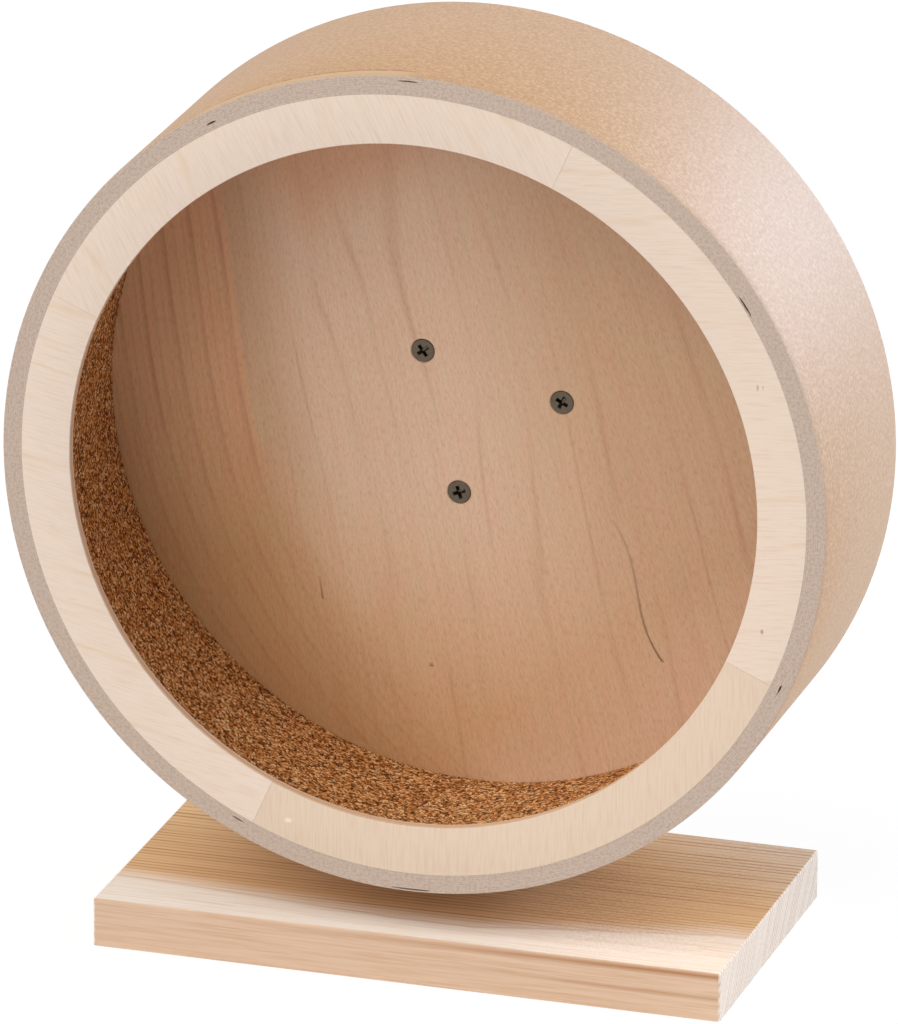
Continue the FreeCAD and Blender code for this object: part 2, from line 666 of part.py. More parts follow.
def make_upright_board():
    """A board with a round top about the axle, screwed to the base board's back edge."""
    board = new_body("UprightBoard")
    outline = new_sketch(board, "UprightOutline", "XZ_Plane")
    centre = FreeCAD.Vector(0, 3, 0)
    half_turn = Part.ArcOfCircle(Part.Circle(centre, FreeCAD.Vector(0, 0, 1), 1.0), 0, math.pi)
    foot = sketch_line(outline, (-1, 0), (1, 0))
    right = sketch_line(outline, (1, 0), (1, 3))
    top = outline.addGeometry(half_turn)
    left = sketch_line(outline, (-1, 3), (-1, 0))
    outline.addConstraint(Sketcher.Constraint("Coincident", foot, 2, right, 1))
    outline.addConstraint(Sketcher.Constraint("Coincident", left, 2, foot, 1))
    outline.addConstraint(Sketcher.Constraint("Tangent", right, 2, top, 1))
    outline.addConstraint(Sketcher.Constraint("Tangent", top, 2, left, 1))
    outline.addConstraint(Sketcher.Constraint("Horizontal", foot))
    outline.addConstraint(Sketcher.Constraint("Vertical", right))
    outline.addConstraint(Sketcher.Constraint("Vertical", left))
    outline.addConstraint(Sketcher.Constraint("Symmetric", foot, 1, foot, 2, -1, 1))
    constrain(outline, "Radius", top, to=UPRIGHT_HALF_WIDTH)
    constrain(outline, "DistanceY", -1, 1, top, 3, to=AXLE_HEIGHT)
    pad(board, outline, "Sizes.upright_thickness")
    bore = new_sketch(board, "UprightBore", "XZ_Plane")
    add_circle(bore, AXLE_HOLE, y=AXLE_HEIGHT)
    cut_into(board, bore)
    dowels = new_sketch(board, "UprightDowelHoles", "XZ_Plane")
    add_fixing_circles(dowels, STAND_DOWEL_PLACES, "Sizes.dowel_diameter / 2")
    cut_into(board, dowels, "Sizes.dowel_in_upright")
    screws = new_sketch(board, "UprightScrewHoles", "XZ_Plane")
    screws.setExpression("AttachmentOffset.Base.z", "-Sizes.upright_thickness")
    add_fixing_circles(screws, STAND_SCREW_PLACES, "Sizes.stand_screw_shank / 2")
    countersunk_hole(board, screws, "Sizes.stand_screw_head", "Sizes.stand_screw_shank", backwards=True)
    place(board, FreeCAD.Rotation(), y=UPRIGHT_FRONT)
    piece(board, "upright_board")


def sketch_line(sketch, start, end):
    return sketch.addGeometry(Part.LineSegment(FreeCAD.Vector(*start, 0), FreeCAD.Vector(*end, 0)))


def make_stand_screws():
    length = "(Sizes.upright_thickness + Sizes.stand_screw_bite)"
    screws = []
    for number, x in enumerate(STAND_SCREW_PLACES, start=1):
        screw = wood_screw(f"StandScrew{number}", "Sizes.stand_screw_head", "Sizes.stand_screw_shank", length)
        place(screw, FACING_BACK, x=x, y=UPRIGHT_BACK, z=FIXING_HEIGHT)
        screws.append(screw)
    piece(group("StandScrews", screws), "stand_screws")


def make_stand_dowels():
    dowels = []
    for number, x in enumerate(STAND_DOWEL_PLACES, start=1):
        dowel = new_body(f"Dowel{number}")
        outline = new_sketch(dowel, f"Dowel{number}Outline")
        add_circle(outline, "Sizes.dowel_diameter / 2")
        rod = pad(dowel, outline, "(Sizes.dowel_in_base + Sizes.dowel_in_upright)")
        ends = edges_where(rod.Shape, lambda edge, middle: edge.isClosed())
        chamfer(dowel, rod, ends, "Sizes.dowel_chamfer")
        place(dowel, FACING_FRONT, x=x, y=f"{UPRIGHT_FRONT} - Sizes.dowel_in_base", z=FIXING_HEIGHT)
        dowels.append(dowel)
    piece(group("StandDowels", dowels), "stand_dowels")


def check_document():
    """Stop before anything is written if an object failed or a sub-part has no sound shape."""
    doc.recompute()
    for item in doc.Objects:
        if "Invalid" in item.State or "Error" in item.State:
            raise RuntimeError(f"{item.Name} failed: {item.State}")
    for item in pieces:
        if item.Shape.isNull() or not item.Shape.isValid() or not item.Shape.Solids:
            raise RuntimeError(f"{item.Label} has no sound shape")


def write_pieces():
    os.makedirs("parts", exist_ok=True)
    for item in pieces:
        item.Shape.exportStep(f"parts/{item.Label}.step")
        solids = len(item.Shape.Solids)
        print(f"{item.Label}: {solids} solid, {item.Shape.Volume:.1f} cubic mm, {item.Shape.BoundBox}")


fill_sheet()
make_drum_tube()
make_front_ring()
make_back_disc()
make_cork_liner()
make_hub_block()
make_hub_screws()
make_bearing()
make_balls()
make_cage()
make_axle_bolt()
make_axle_rings()
make_axle_nut()
make_base_board()
make_upright_board()
make_stand_screws()
make_stand_dowels()
check_document()
write_pieces()
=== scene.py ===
"""Rodent exercise wheel: a cork-lined drum of wound board on a pine stand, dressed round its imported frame."""

import json
import math
from collections import namedtuple
from functools import partial

import bmesh
import bpy
import numpy as np
from bpy.props import FloatProperty, FloatVectorProperty, IntProperty, PointerProperty
from mathutils import Matrix, Vector

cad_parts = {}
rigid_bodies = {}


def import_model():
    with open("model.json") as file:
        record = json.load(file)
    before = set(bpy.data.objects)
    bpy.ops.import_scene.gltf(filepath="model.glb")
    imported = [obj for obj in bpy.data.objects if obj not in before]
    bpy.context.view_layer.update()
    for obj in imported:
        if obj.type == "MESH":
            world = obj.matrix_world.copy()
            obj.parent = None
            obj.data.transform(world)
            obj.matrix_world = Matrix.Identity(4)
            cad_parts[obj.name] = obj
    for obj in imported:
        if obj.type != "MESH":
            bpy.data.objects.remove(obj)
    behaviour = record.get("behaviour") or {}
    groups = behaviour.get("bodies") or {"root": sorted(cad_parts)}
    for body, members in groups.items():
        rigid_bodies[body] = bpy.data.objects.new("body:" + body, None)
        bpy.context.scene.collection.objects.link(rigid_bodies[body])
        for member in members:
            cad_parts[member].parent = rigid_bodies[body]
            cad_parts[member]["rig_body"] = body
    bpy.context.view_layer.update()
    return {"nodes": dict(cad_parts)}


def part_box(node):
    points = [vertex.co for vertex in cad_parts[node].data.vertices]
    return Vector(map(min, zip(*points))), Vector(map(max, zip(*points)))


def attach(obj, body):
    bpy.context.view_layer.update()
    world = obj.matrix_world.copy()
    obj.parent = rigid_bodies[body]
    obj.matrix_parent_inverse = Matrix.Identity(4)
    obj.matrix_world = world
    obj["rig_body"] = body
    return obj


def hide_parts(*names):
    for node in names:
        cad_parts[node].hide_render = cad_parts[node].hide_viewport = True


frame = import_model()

bl_info = {
    "name": "Rodent Exercise Wheel",
    "version": (1, 0, 0),
    "blender": (4, 5, 0),
    "location": "View3D > Sidebar > Exercise Wheel",
    "description": "Dresses a cork-lined exercise wheel on its pine stand and sets it in a studio",
    "category": "Object",
}

MM = 0.001
SEGMENTS = 96
ANGLES = np.arange(SEGMENTS) * math.tau / SEGMENTS

# Each quarter of the front ring: how its grain leans in degrees, and how warm its wood is
RING_GRAIN = {
    "front_ring_upper_left": (119.0, 0.15),
    "front_ring_lower_left": (-12.0, 0.1),
    "front_ring_lower_right": (90.0, 0.65),
    "front_ring_upper_right": (4.5, 0.2),
}
# From quarter to quarter, the pattern of the grain is shifted by this much
GRAIN_SHIFT = 350 * MM

# Flecks of the front ring: place from the axle and half sizes in millimetres, strength and colour
Fleck = namedtuple("Fleck", "x z wide tall strength tone")
RING_FLECKS = (
    Fleck(118.6, 48.3, 0.5, 1.4, 0.45, "mark"),
    Fleck(120.4, 48.5, 0.4, 1.1, 0.3, "mark"),
    Fleck(121.4, -36.1, 0.7, 1.1, 0.6, "mark"),
    Fleck(-42.2, -122.1, 1.7, 1.1, 0.5, "pine_pale"),
    Fleck(-118.1, -52.1, 2.2, 0.7, 0.35, "ring_line"),
)

# Slits where the drum's plies have sprung apart at the sawn end: angle in degrees, ply, length and gape in
# millimetres, and how dark the painted shade in it is
Slit = namedtuple("Slit", "angle ply length gape shade")
SLITS = (
    Slit(120.0, 3, 2.8, 0.55, 1.0),
    Slit(90.6, 6, 6.5, 0.3, 0.7),
    Slit(33.6, 1, 6.8, 0.55, 1.0),
    Slit(-23.5, 4, 2.6, 0.5, 1.0),
    Slit(-115.8, 2, 4.4, 0.35, 0.8),
    Slit(-89.5, 7, 13.0, 0.35, 0.95),
)

# The loose part of the drum's outer lap: where it starts and ends and how far it takes to fade, in degrees,
# and the depth of the crease behind it and the darkness of the painted shade in that crease
LAP_START, LAP_END, LAP_FADE = 89, 124, 4
LAP_CREASE, LAP_SHADE = 0.3 * MM, 0.95

# Points nearer than this become one
WELD = 0.002 * MM
# Points nearer than this lie on the same face
NEAR = 0.01 * MM
# How far in the middle of a rounded arris lies, as a share of its size
ARRIS_MIDDLE = 0.3

# Fasteners: the depth of a hexagon's chamfer, and the radius where it starts as a share of the width across
# flats; the depth of the bolt's thread as a share of its pitch, and the rows to one turn of a thread
CHAMFER_DEPTH, CHAMFER_FACE = 0.75 * MM, 0.47
THREAD_DEPTH, THREAD_ROWS = 0.61, 6

# A mask that goes from low to high while a value goes from start to end
Fade = namedtuple("Fade", "start end low high", defaults=(0.0, 1.0))

# Over a ply of the drum, and over the noise behind the ring's growth lines and the cork's bark
GLUE_LINE = Fade(0.0, 0.2, 0.35, 0.0)
RING_VIGOUR = Fade(0.38, 0.64, 0.0, 0.55)
BARK = Fade(0.45, 0.36, 0.0, 0.9)
# How far the ring's growth lines wander, in years
RING_WANDER = 3.5

# The back disc's veneer, right of the axle and above it. Two lines are terms of a cubic of the height
HEART_EDGE = (-12.7, 1.345, -0.1688, -0.08305)
LONG_STREAK = (-333.0, -56.3, -3.352, -0.0143)
# Going up, its grain leans left by this share of the height and draws together by this share per metre
GRAIN_LEAN, GRAIN_FAN = 0.25, -1.43
# How far its growth lines, its heartwood's edge, its sapwood's tones and its zones wander
LINE_WANDER, HEART_WANDER, SAP_WANDER, ZONE_WANDER = (size * MM for size in (48, 7, 22, 14))
# The strength of its growth lines over the noise behind them
DISC_VIGOUR = Fade(0.42, 0.68, 0.0, 0.42)
HEART_VIGOUR = Fade(0.34, 0.62, 0.2, 0.62)
# The heartwood's first line, in years from its edge, and its fine lines: how many to a year and how strong
HEART_FIRST_LINE, FINE_LINES, FINE_VIGOUR = 0.16, 3.0, 0.2
# The blur of the heartwood's edge and its gold over the height, and its red over the depth inside, deeper in
# which it fades to a paler colour painted as painted light on the disc's shaded left
HEART_BLUR = Fade(-20 * MM, -85 * MM, 0.8 * MM, 22 * MM)
HEART_GOLD = Fade(5 * MM, -60 * MM)
HEART_RED = Fade(-36 * MM, -6 * MM, 0.35, 1.0)
# Zones of the sapwood, from side to side or over a height that slopes
DISC_SPAN = Fade(-140 * MM, 140 * MM)
# The foot's warm tone is partly the wood's own and partly painted warm light bounced from the cork
FOOT_SLOPE, FOOT_AND_BOUNCE = 0.25, Fade(-35 * MM, -105 * MM, 0.0, 0.85)
# The paler lower right corner is painted light, where more light falls on the disc
CORNER_SLOPE, PAINTED_LIGHT_CORNER = -0.8, Fade(-112 * MM, -152 * MM, 0.0, 0.9)
# Pointed zones: how far left of the axle the point is, how steep the sides are, and the fade over the height
Zone = namedtuple("Zone", "left slope fade")
FLAME = Zone(35 * MM, 1.6, Fade(-40 * MM, -75 * MM, 0.0, 0.75))
TONGUE = Zone(60 * MM, -0.75, Fade(50 * MM, 74 * MM, 0.0, 0.8))
# Dark marks: half width and the heights between which they run; the flecks by how far left they are
Mark = namedtuple("Mark", "width low high")
STREAK_RAGGED, STREAK_MARK = 1.4 * MM, Mark(0.6 * MM, -81 * MM, -32 * MM)
DISC_FLECKS = {
    66.9 * MM: Mark(0.4 * MM, -72 * MM, -64 * MM),
    35.2 * MM: Mark(0.8 * MM, -92 * MM, -90.6 * MM),
}

# A pine board for its material: the turn that lays its grain along X, its pith across the grain, where its
# sapwood ends, its front edge lies and its sawn ends are, and the streaks on its front edge
Board = namedtuple("Board", "turn pith sapwood edge end streaks")
BASE_PITH, UPRIGHT_PITH = (260 * MM, -170 * MM), (240 * MM, 40 * MM)
# The base's sapwood is this deep. The upright's, its edge and its ends lie too far off to show
SAPWOOD, FAR_OFF = 17 * MM, 1.0
# A late-wood streak: its height at the middle of the board and its rise to the right, how wide and strong it
# is, and where along the board it starts and is full, in millimetres
Streak = namedtuple("Streak", "height slope width strength start full")
BASE_STREAKS = (Streak(15.2, 0.003, 1.7, 0.85, -70.0, 80.0), Streak(8.2, -0.004, 1.3, 0.5, 0.0, 90.0))
# The trunk's taper, and how far the rings, the sapwood's edge and the streaks wander
PINE_TAPER = 0.012
PINE_WANDER, BAND_WANDER, STREAK_WANDER = 6 * MM, 9 * MM, 1.5 * MM
# The strength of the rings over the noise behind them, past the sapwood's edge, along the front edge and on a
# sawn end
PINE_VIGOUR = Fade(0.33, 0.68, 0.3, 1.0)
PINE_LINES = Fade(1 * MM, 11 * MM, 0.06, 0.8)
EDGE_LINES = Fade(-60 * MM, 90 * MM, 0.02, 0.16)
SAWN_LINES = 0.6
# How much broader the sapwood gets along the board, how much duller it is painted to the right, as painted
# shade against the fuller light there, and how pale the right rear corner is
RIGHT_FLARE = Fade(20 * MM, 100 * MM, 0.0, 20 * MM)
LEFT_FLARE = Fade(-10 * MM, -105 * MM, 0.0, 7 * MM)
DULL_SAPWOOD_SHADE = Fade(-20 * MM, 100 * MM, 0.0, 0.25)
REAR_SLOPE, REAR_CORNER = 0.6, Fade(65 * MM, 115 * MM, 0.0, 0.45)
# The sapwood's edge: its blur, and the thin dark line in it
BAND_BLUR, BAND_RIM_DEPTH = 13 * MM, 3 * MM
BAND_RIM = Fade(0.3 * MM, 1.0 * MM, 0.22, 0.0)
# How far in from the board's edge and ends their own look starts and is full
SKIN_START, SKIN_FULL = 0.7 * MM, 0.3 * MM

# The camera stands far off with a long lens, as the picture's nearly parallel edges show
VIEW_AZIMUTH, VIEW_ELEVATION, VIEW_ROLL = 17.279, 19.519, 0.390
VIEW_TARGET = Vector((13.49, -56.0, 167.68)) * MM
VIEW_DISTANCE = 3820 * MM
VIEW_LENS = 406.8

# Each soft lamp: azimuth and elevation in degrees, its share of full light on a face turned to it, its spread
# in degrees and its colour
Lamp = namedtuple("Lamp", "azimuth elevation level spread colour")
LAMPS = {
    "front_softbox": Lamp(-8.0, 24.0, 0.22, 36.0, "#FFFFFF"),
    "high_softbox": Lamp(-10.0, 56.0, 0.29, 45.0, "#FFFFFF"),
    "left_softbox": Lamp(-54.0, 44.0, 0.32, 45.0, "#FFFFFF"),
    "right_softbox": Lamp(106.0, 52.0, 0.30, 45.0, "#F6F8FF"),
    "rear_softbox": Lamp(147.0, 4.0, 1.42, 50.0, "#D0E4FF"),
}
LAMP_DISTANCE = 3.0
AMBIENT = 0.2
# The floor's size, its colours for bounced light and where it is looked at, and its glow there
FLOOR_SIZE = 60.0
FLOOR_BOUNCE, FLOOR_LIT, FLOOR_GLOW = "#F4F4F4", "#626262", 0.90


def linear(colour):
    """An sRGB hex colour as linear red, green and blue, with full alpha."""
    channels = [int(colour[place : place + 2], 16) / 255 for place in (1, 3, 5)]
    return [c / 12.92 if c <= 0.04045 else ((c + 0.055) / 1.055) ** 2.4 for c in channels] + [1.0]


def length(name, description, millimetres):
    """A length that a user can change."""
    return FloatProperty(
        name=name, description=description, default=millimetres * MM, min=0.0, precision=5, unit="LENGTH"
    )


def colour(name, description, default):
    """A colour that a user can change."""
    return FloatVectorProperty(
        name=name, description=description, default=linear(default), min=0.0, max=1.0, size=4, subtype="COLOR"
    )


class WheelSizes(bpy.types.PropertyGroup):
    """Sizes of the surfaces that the frame doesn't give."""

    drum_plies: IntProperty(
        name="Drum plies", description="Layers of paper board in the drum's wall", default=8, min=2
    )
    slit_depth: length("Slit depth", "How deep a gap between two plies of the drum's end goes", 2.4)
    lap: length("Outer lap", "Distance of the outer ply's lapped edge from the drum's mouth", 6.0)
    board_arris: length("Board arris", "Rounding of the drum's and ring's open edges", 0.35)
    glued_arris: length("Glued arris", "Rounding of edges that meet at a glue line", 0.04)
    glue: length("Glue", "Glue that swells into each joint of the front ring", 0.12)
    granule: length("Cork granule", "Width of one granule of the cork", 0.8)
    lump: length("Cork lump", "Width of the lumps that granules make on the cork's face", 1.8)
    granule_relief: length("Cork relief", "Depth between the granules of the cork", 0.3)
    screw_pitch: length("Screw pitch", "Thread pitch of the wood screws", 1.8)
    bolt_pitch: length("Bolt pitch", "Thread pitch of the axle bolt", 1.25)
    ring_year: length("Ring growth line", "Spacing of the growth lines on the front ring", 15.0)
    disc_year: length("Disc growth line", "Spacing of the growth lines on the back disc", 15.0)
    heart_year: length("Disc heart line", "Spacing of the growth lines in the back disc's heartwood", 9.7)
    pine_year: length("Pine growth ring", "Spacing of the growth rings in the stand's boards", 2.1)


class WheelColours(bpy.types.PropertyGroup):
    """Colours of the wheel's materials."""

    kraft: colour("Kraft board", "Outer ply of the drum", "#BA8E63")
    kraft_dark: colour("Kraft shadow", "Dark fibres of the drum's outer ply", "#AE8253")
    kraft_pale: colour("Kraft light", "Pale fibres of the drum's outer ply", "#CAA378")
    sawn_end: colour("Sawn end", "Sawn end of the drum's plies", "#BFA998")
    sawn_dark: colour("Sawn end, dark", "Glue lines and grit of the drum's sawn end", "#AD9785")
    # Painted shade: this dark colour fills the slits between the plies and the crease behind the outer lap
    gap: colour("Ply gap", "Inside of the gaps between plies", "#2E2119")
    ring: colour("Ring veneer", "Front ring between its growth lines", "#E3CFBE")
    ring_warm: colour("Ring veneer, warm", "Warmer wood of some quarters of the front ring", "#D4BA9F")
    ring_line: colour("Ring growth line", "Growth lines of the front ring", "#D9BC9C")
    ply_core: colour("Plywood core", "Inner plies on the edges of ring and disc", "#DBB186")
    disc: colour("Disc veneer", "Back disc between its growth lines", "#D2AD89")
    # Partly the wood's own warmth and partly painted warm light bounced from the cork onto the disc's lower
    # part
    disc_warm_and_bounce: colour("Disc veneer, warm", "Warmer wood in the lower part of the back disc", "#DCB286")
    disc_pale: colour("Disc veneer, pale", "Palest wood, left of the back disc's middle", "#E3C3A6")
    disc_line: colour("Disc growth line", "Growth lines of the back disc", "#B98863")
    disc_heart: colour("Disc heartwood", "Pinkish wood towards one side of the back disc", "#DFAE85")
    disc_gold: colour("Disc heartwood, low", "Golden wood low on the disc's heartwood side", "#C59B6D")
    # Painted light: this paler colour far inside the heartwood lifts the shade that the drum's left wall casts
    # on the disc
    disc_outer_painted_light: colour("Disc heartwood, outer", "Paler wood far inside the disc's heartwood", "#E6BF95")
    mark: colour("Mineral streak", "Dark streaks and flecks in the veneers", "#7A5638")
    cork: colour("Cork", "Main colour of the cork granules", "#C58247")
    cork_dark: colour("Cork bark", "Dark bark in the cork", "#50290C")
    cork_pale: colour("Cork light", "Palest cork granules", "#F2CE9A")
    pine: colour("Pine", "Early wood of the stand", "#EAC18F")
    pine_line: colour("Pine line", "Late wood of the stand's growth rings", "#A56D3A")
    pine_pale: colour("Pine sapwood", "Palest wood along the base board's front", "#FBF0E2")
    pine_front: colour("Pine edge", "Front edge of the base board", "#D9BA9F")
    pine_end: colour("Pine end", "End grain of the base board", "#EEDFCD")
    beech: colour("Beech", "Hub block and dowels", "#D1A87F")
    beech_fleck: colour("Beech fleck", "Short rays in the beech", "#B28459")
    screw: colour("Screw steel", "Countersunk wood screws", "#675C4F")
    zinc: colour("Zinc plating", "Bolt, nut, washers and spacer", "#BFC1C3")
    steel: colour("Bearing steel", "Races and balls of the bearing", "#C6C7C9")
    nylon: colour("Nylon", "Bearing cage and the nut's locking ring", "#E3E1D8")


def add_node(tree, family, kind, *inputs, out=None, stops=(), **settings):
    """Adds a node with its settings and gives its named or first output.

    Its inputs, values or sockets, come in order or in one dictionary by name.
    """
    node = tree.nodes.new(family + kind)
    for name, value in settings.items():
        setattr(node, name, value)
    sockets = [socket for socket in node.inputs if socket.enabled]
    if inputs and isinstance(inputs[0], dict):
        named = {socket.name: socket for socket in sockets}
        sockets = [named[name] for name in inputs[0]]
        inputs = inputs[0].values()
    for socket, value in zip(sockets, inputs):
        if isinstance(value, bpy.types.NodeSocket):
            tree.links.new(value, socket)
        else:
            socket.default_value = value
    for number, (place, shade) in enumerate(stops):
        elements = node.color_ramp.elements
        element = elements[number] if number < len(elements) else elements.new(place)
        element.position = place
        element.color = shade
    enabled = [socket for socket in node.outputs if socket.enabled]
    return node.outputs[out] if out else (enabled[0] if enabled else None)


def scale_of(millimetres):
    """The scale of a pattern whose features are this wide."""
    return 1 / (millimetres * MM)


def new_material(name):
    """An empty material, the function that adds its nodes, and its Object coordinates."""
    material = bpy.data.materials.new(name)
    material.use_nodes = True
    material.node_tree.nodes.clear()
    add = partial(add_node, material.node_tree, "ShaderNode")
    return material, add, add("TexCoord", out="Object")


# Sizes from the frame

Turned = namedtuple("Turned", "inner outer front back start end")


def mesh_points(mesh):
    """A mesh's points as an array."""
    points = np.empty(len(mesh.vertices) * 3)
    mesh.vertices.foreach_get("co", points)
    return points.reshape(-1, 3)


DRUM_LOW, DRUM_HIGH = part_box("drum_tube")
AXLE_HEIGHT = (DRUM_LOW.z + DRUM_HIGH.z) / 2


def turned_size(node):
    """How a node lies round the axle: its radii, its depths and the angles between which it runs."""
    x, y, z = mesh_points(frame["nodes"][node].data).T
    z = z - AXLE_HEIGHT
    radius = np.hypot(x, z)
    middle = math.atan2(z.mean(), x.mean())
    angle = middle + np.angle(np.exp(1j * (np.arctan2(z, x) - middle)))
    return Turned(*(float(end) for row in (radius, y, angle) for end in (row.min(), row.max())))


def solid_boxes(node):
    """The lowest and highest corner of each loose solid in a node, from left to right."""
    work = bmesh.new()
    work.from_mesh(frame["nodes"][node].data)
    bmesh.ops.remove_doubles(work, verts=work.verts, dist=NEAR)
    unseen = set(work.verts)
    boxes = []
    while unseen:
        solid = [unseen.pop()]
        for vert in solid:
            found = [edge.other_vert(vert) for edge in vert.link_edges if edge.other_vert(vert) in unseen]
            unseen.difference_update(found)
            solid.extend(found)
        points = np.array([vert.co for vert in solid])
        boxes.append((points.min(0).tolist(), points.max(0).tolist()))
    work.free()
    return sorted(boxes)


# Meshes


def loops_mesh(name, loops, capped=True):
    """A mesh through closed loops of points, each joined to the next, with its end loops filled or open."""
    count, size = loops.shape[:2]
    index = np.arange(count * size).reshape(count, size)
    ahead = np.roll(index, -1, axis=1)
    faces = np.stack([index[:-1], index[1:], ahead[1:], ahead[:-1]], axis=2).reshape(-1, 4).tolist()
    if capped:
        faces += [index[0].tolist(), index[-1, ::-1].tolist()]
    mesh = bpy.data.meshes.new(name)
    mesh.from_pydata(loops.reshape(-1, 3).tolist(), [], faces, shade_flat=False)
    return mesh


def turned_mesh(name, rings, closed=False):
    """A mesh of rings round the Y axis, each a depth and a radius, which may be one for each angle."""
    rings = [*rings, rings[0]] if closed else rings
    loops = np.empty((len(rings), SEGMENTS, 3))
    for loop, (depth, radius) in zip(loops, rings):
        loop[:, 0] = radius * np.cos(ANGLES)
        loop[:, 1] = depth
        loop[:, 2] = radius * np.sin(ANGLES)
    return loops_mesh(name, loops, capped=not closed)


def close_up(mesh, crease=30.0):
    """Merges a mesh's doubles, turns its faces out and keeps edges bent by more than crease degrees sharp."""
    work = bmesh.new()
    work.from_mesh(mesh)
    bmesh.ops.remove_doubles(work, verts=work.verts, dist=WELD)
    bmesh.ops.recalc_face_normals(work, faces=work.faces)
    work.to_mesh(mesh)
    work.free()
    mesh.shade_smooth()
    mesh.set_sharp_from_angle(angle=math.radians(crease))


def new_piece(name, mesh, material=None):
    """An object at the origin for a mesh."""
    piece = bpy.data.objects.new(name, mesh)
    bpy.context.scene.collection.objects.link(piece)
    if material:
        mesh.materials.append(material)
    return piece


def stand_for(piece, *nodes):
    """Puts a finished piece in the place of its nodes, on their body, and hides the nodes."""
    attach(piece, frame["nodes"][nodes[0]]["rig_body"])
    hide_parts(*nodes)


def dress_node(node, material):
    """Gives a node of the frame its material."""
    mesh = frame["nodes"][node].data
    mesh.materials.clear()
    mesh.materials.append(material)


def set_values(mesh, name, values):
    """Keeps one number for each point of a mesh under a name that its material reads."""
    attribute = mesh.attributes.new(name, "FLOAT", "POINT")
    attribute.data.foreach_set("value", np.asarray(values, np.float32).ravel())


def direction(azimuth, elevation):
    """The way to a place, from its azimuth, 0 in front and 90 on the right, and its elevation in degrees."""
    azimuth, elevation = math.radians(azimuth), math.radians(elevation)
    side, front = math.sin(azimuth), -math.cos(azimuth)
    return Vector((side * math.cos(elevation), front * math.cos(elevation), math.sin(elevation)))


def hexagon(flats):
    """The radius at each angle of a hexagon this wide across its flats."""
    return flats / 2 / np.cos(ANGLES % (math.pi / 3) - math.pi / 6)


def thread(depth, core, crest, pitch):
    """The radius at each angle of a thread at one depth."""
    turn = (depth / pitch - ANGLES / math.tau) % 1
    return core + (crest - core) * np.abs(2 * turn - 1)


# Geometry Nodes


def new_tree(name, inputs):
    """A Geometry Nodes tree with named inputs, the function that adds its nodes, and its input sockets."""
    tree = bpy.data.node_groups.new(name, "GeometryNodeTree")
    tree.interface.new_socket("Geometry", in_out="OUTPUT", socket_type="NodeSocketGeometry")
    for label, kind in {"Geometry": "Geometry", **inputs}.items():
        tree.interface.new_socket(label, in_out="INPUT", socket_type=f"NodeSocket{kind}")
    add = partial(add_node, tree, "")
    return tree, add, add("NodeGroupInput").node.outputs


def end_tree(add, geometry, material):
    """Ends a tree: real geometry with its material."""
    real = add("GeometryNodeRealizeInstances", geometry)
    dressed = add("GeometryNodeSetMaterial", {"Geometry": real, "Material": material})
    add("NodeGroupOutput", dressed)


def rolled_sheet():
    """A tree that rolls a flat sheet round the axle and presses granules into its running face."""
    numbers = ("Bend Radius", "Start Angle", "Axle Height", "Granule Size", "Relief")
    tree, add, given = new_tree("Rolled sheet", {**dict.fromkeys(numbers, "Float"), "Material": "Material"})
    flat = add("ShaderNodeSeparateXYZ", add("GeometryNodeInputPosition")).node.outputs
    bend = add("ShaderNodeMath", flat["X"], given["Bend Radius"], operation="DIVIDE")
    angle = add("ShaderNodeMath", bend, given["Start Angle"], operation="ADD")
    radius = add("ShaderNodeMath", flat["Z"], given["Bend Radius"], operation="ADD")
    cosine = add("ShaderNodeMath", angle, operation="COSINE")
    sine = add("ShaderNodeMath", angle, operation="SINE")
    outward = add("ShaderNodeCombineXYZ", {"X": cosine, "Z": sine})
    spoke = add("ShaderNodeVectorMath", outward, radius, operation="SCALE")
    centre = add("ShaderNodeCombineXYZ", {"Y": flat["Y"], "Z": given["Axle Height"]})
    rolled = add("ShaderNodeVectorMath", centre, spoke, operation="ADD")
    grain = add("ShaderNodeMath", 1.0, given["Granule Size"], operation="DIVIDE")
    granule = add("ShaderNodeTexVoronoi", {"Vector": rolled, "Scale": grain}, out="Distance")
    running = add("GeometryNodeInputNamedAttribute", "running", data_type="FLOAT")
    relief = add("ShaderNodeMath", given["Relief"], running, operation="MULTIPLY")
    depth = add("ShaderNodeMath", granule, relief, operation="MULTIPLY")
    press = add("ShaderNodeVectorMath", outward, depth, operation="SCALE")
    pressed = add("ShaderNodeVectorMath", rolled, press, operation="ADD")
    moved = add("GeometryNodeSetPosition", {"Geometry": given["Geometry"], "Position": pressed})
    joined = add("GeometryNodeMergeByDistance", {"Geometry": moved, "Distance": WELD})
    end_tree(add, joined, given["Material"])
    return tree


def screw_row():
    """A tree that sets one screw at each point, sunk a little and turned to a chance angle."""
    inputs = {"Screw": "Object", "Sink": "Float", "Facing": "Float", "Seed": "Int", "Material": "Material"}
    tree, add, given = new_tree("Screw row", inputs)
    screw = add("GeometryNodeObjectInfo", {"Object": given["Screw"]}, out="Geometry")
    drop = add("ShaderNodeCombineXYZ", {"Y": given["Sink"]})
    sunk = add("GeometryNodeTransform", {"Geometry": screw, "Translation": drop})
    chance = {"Min": 0.0, "Max": math.tau, "Seed": given["Seed"]}
    turn = add("FunctionNodeRandomValue", chance, data_type="FLOAT")
    angles = add("ShaderNodeCombineXYZ", {"Y": turn, "Z": given["Facing"]})
    rotation = add("FunctionNodeEulerToRotation", angles)
    placed = {"Points": given["Geometry"], "Instance": sunk, "Rotation": rotation}
    end_tree(add, add("GeometryNodeInstanceOnPoints", placed), given["Material"])
    return tree


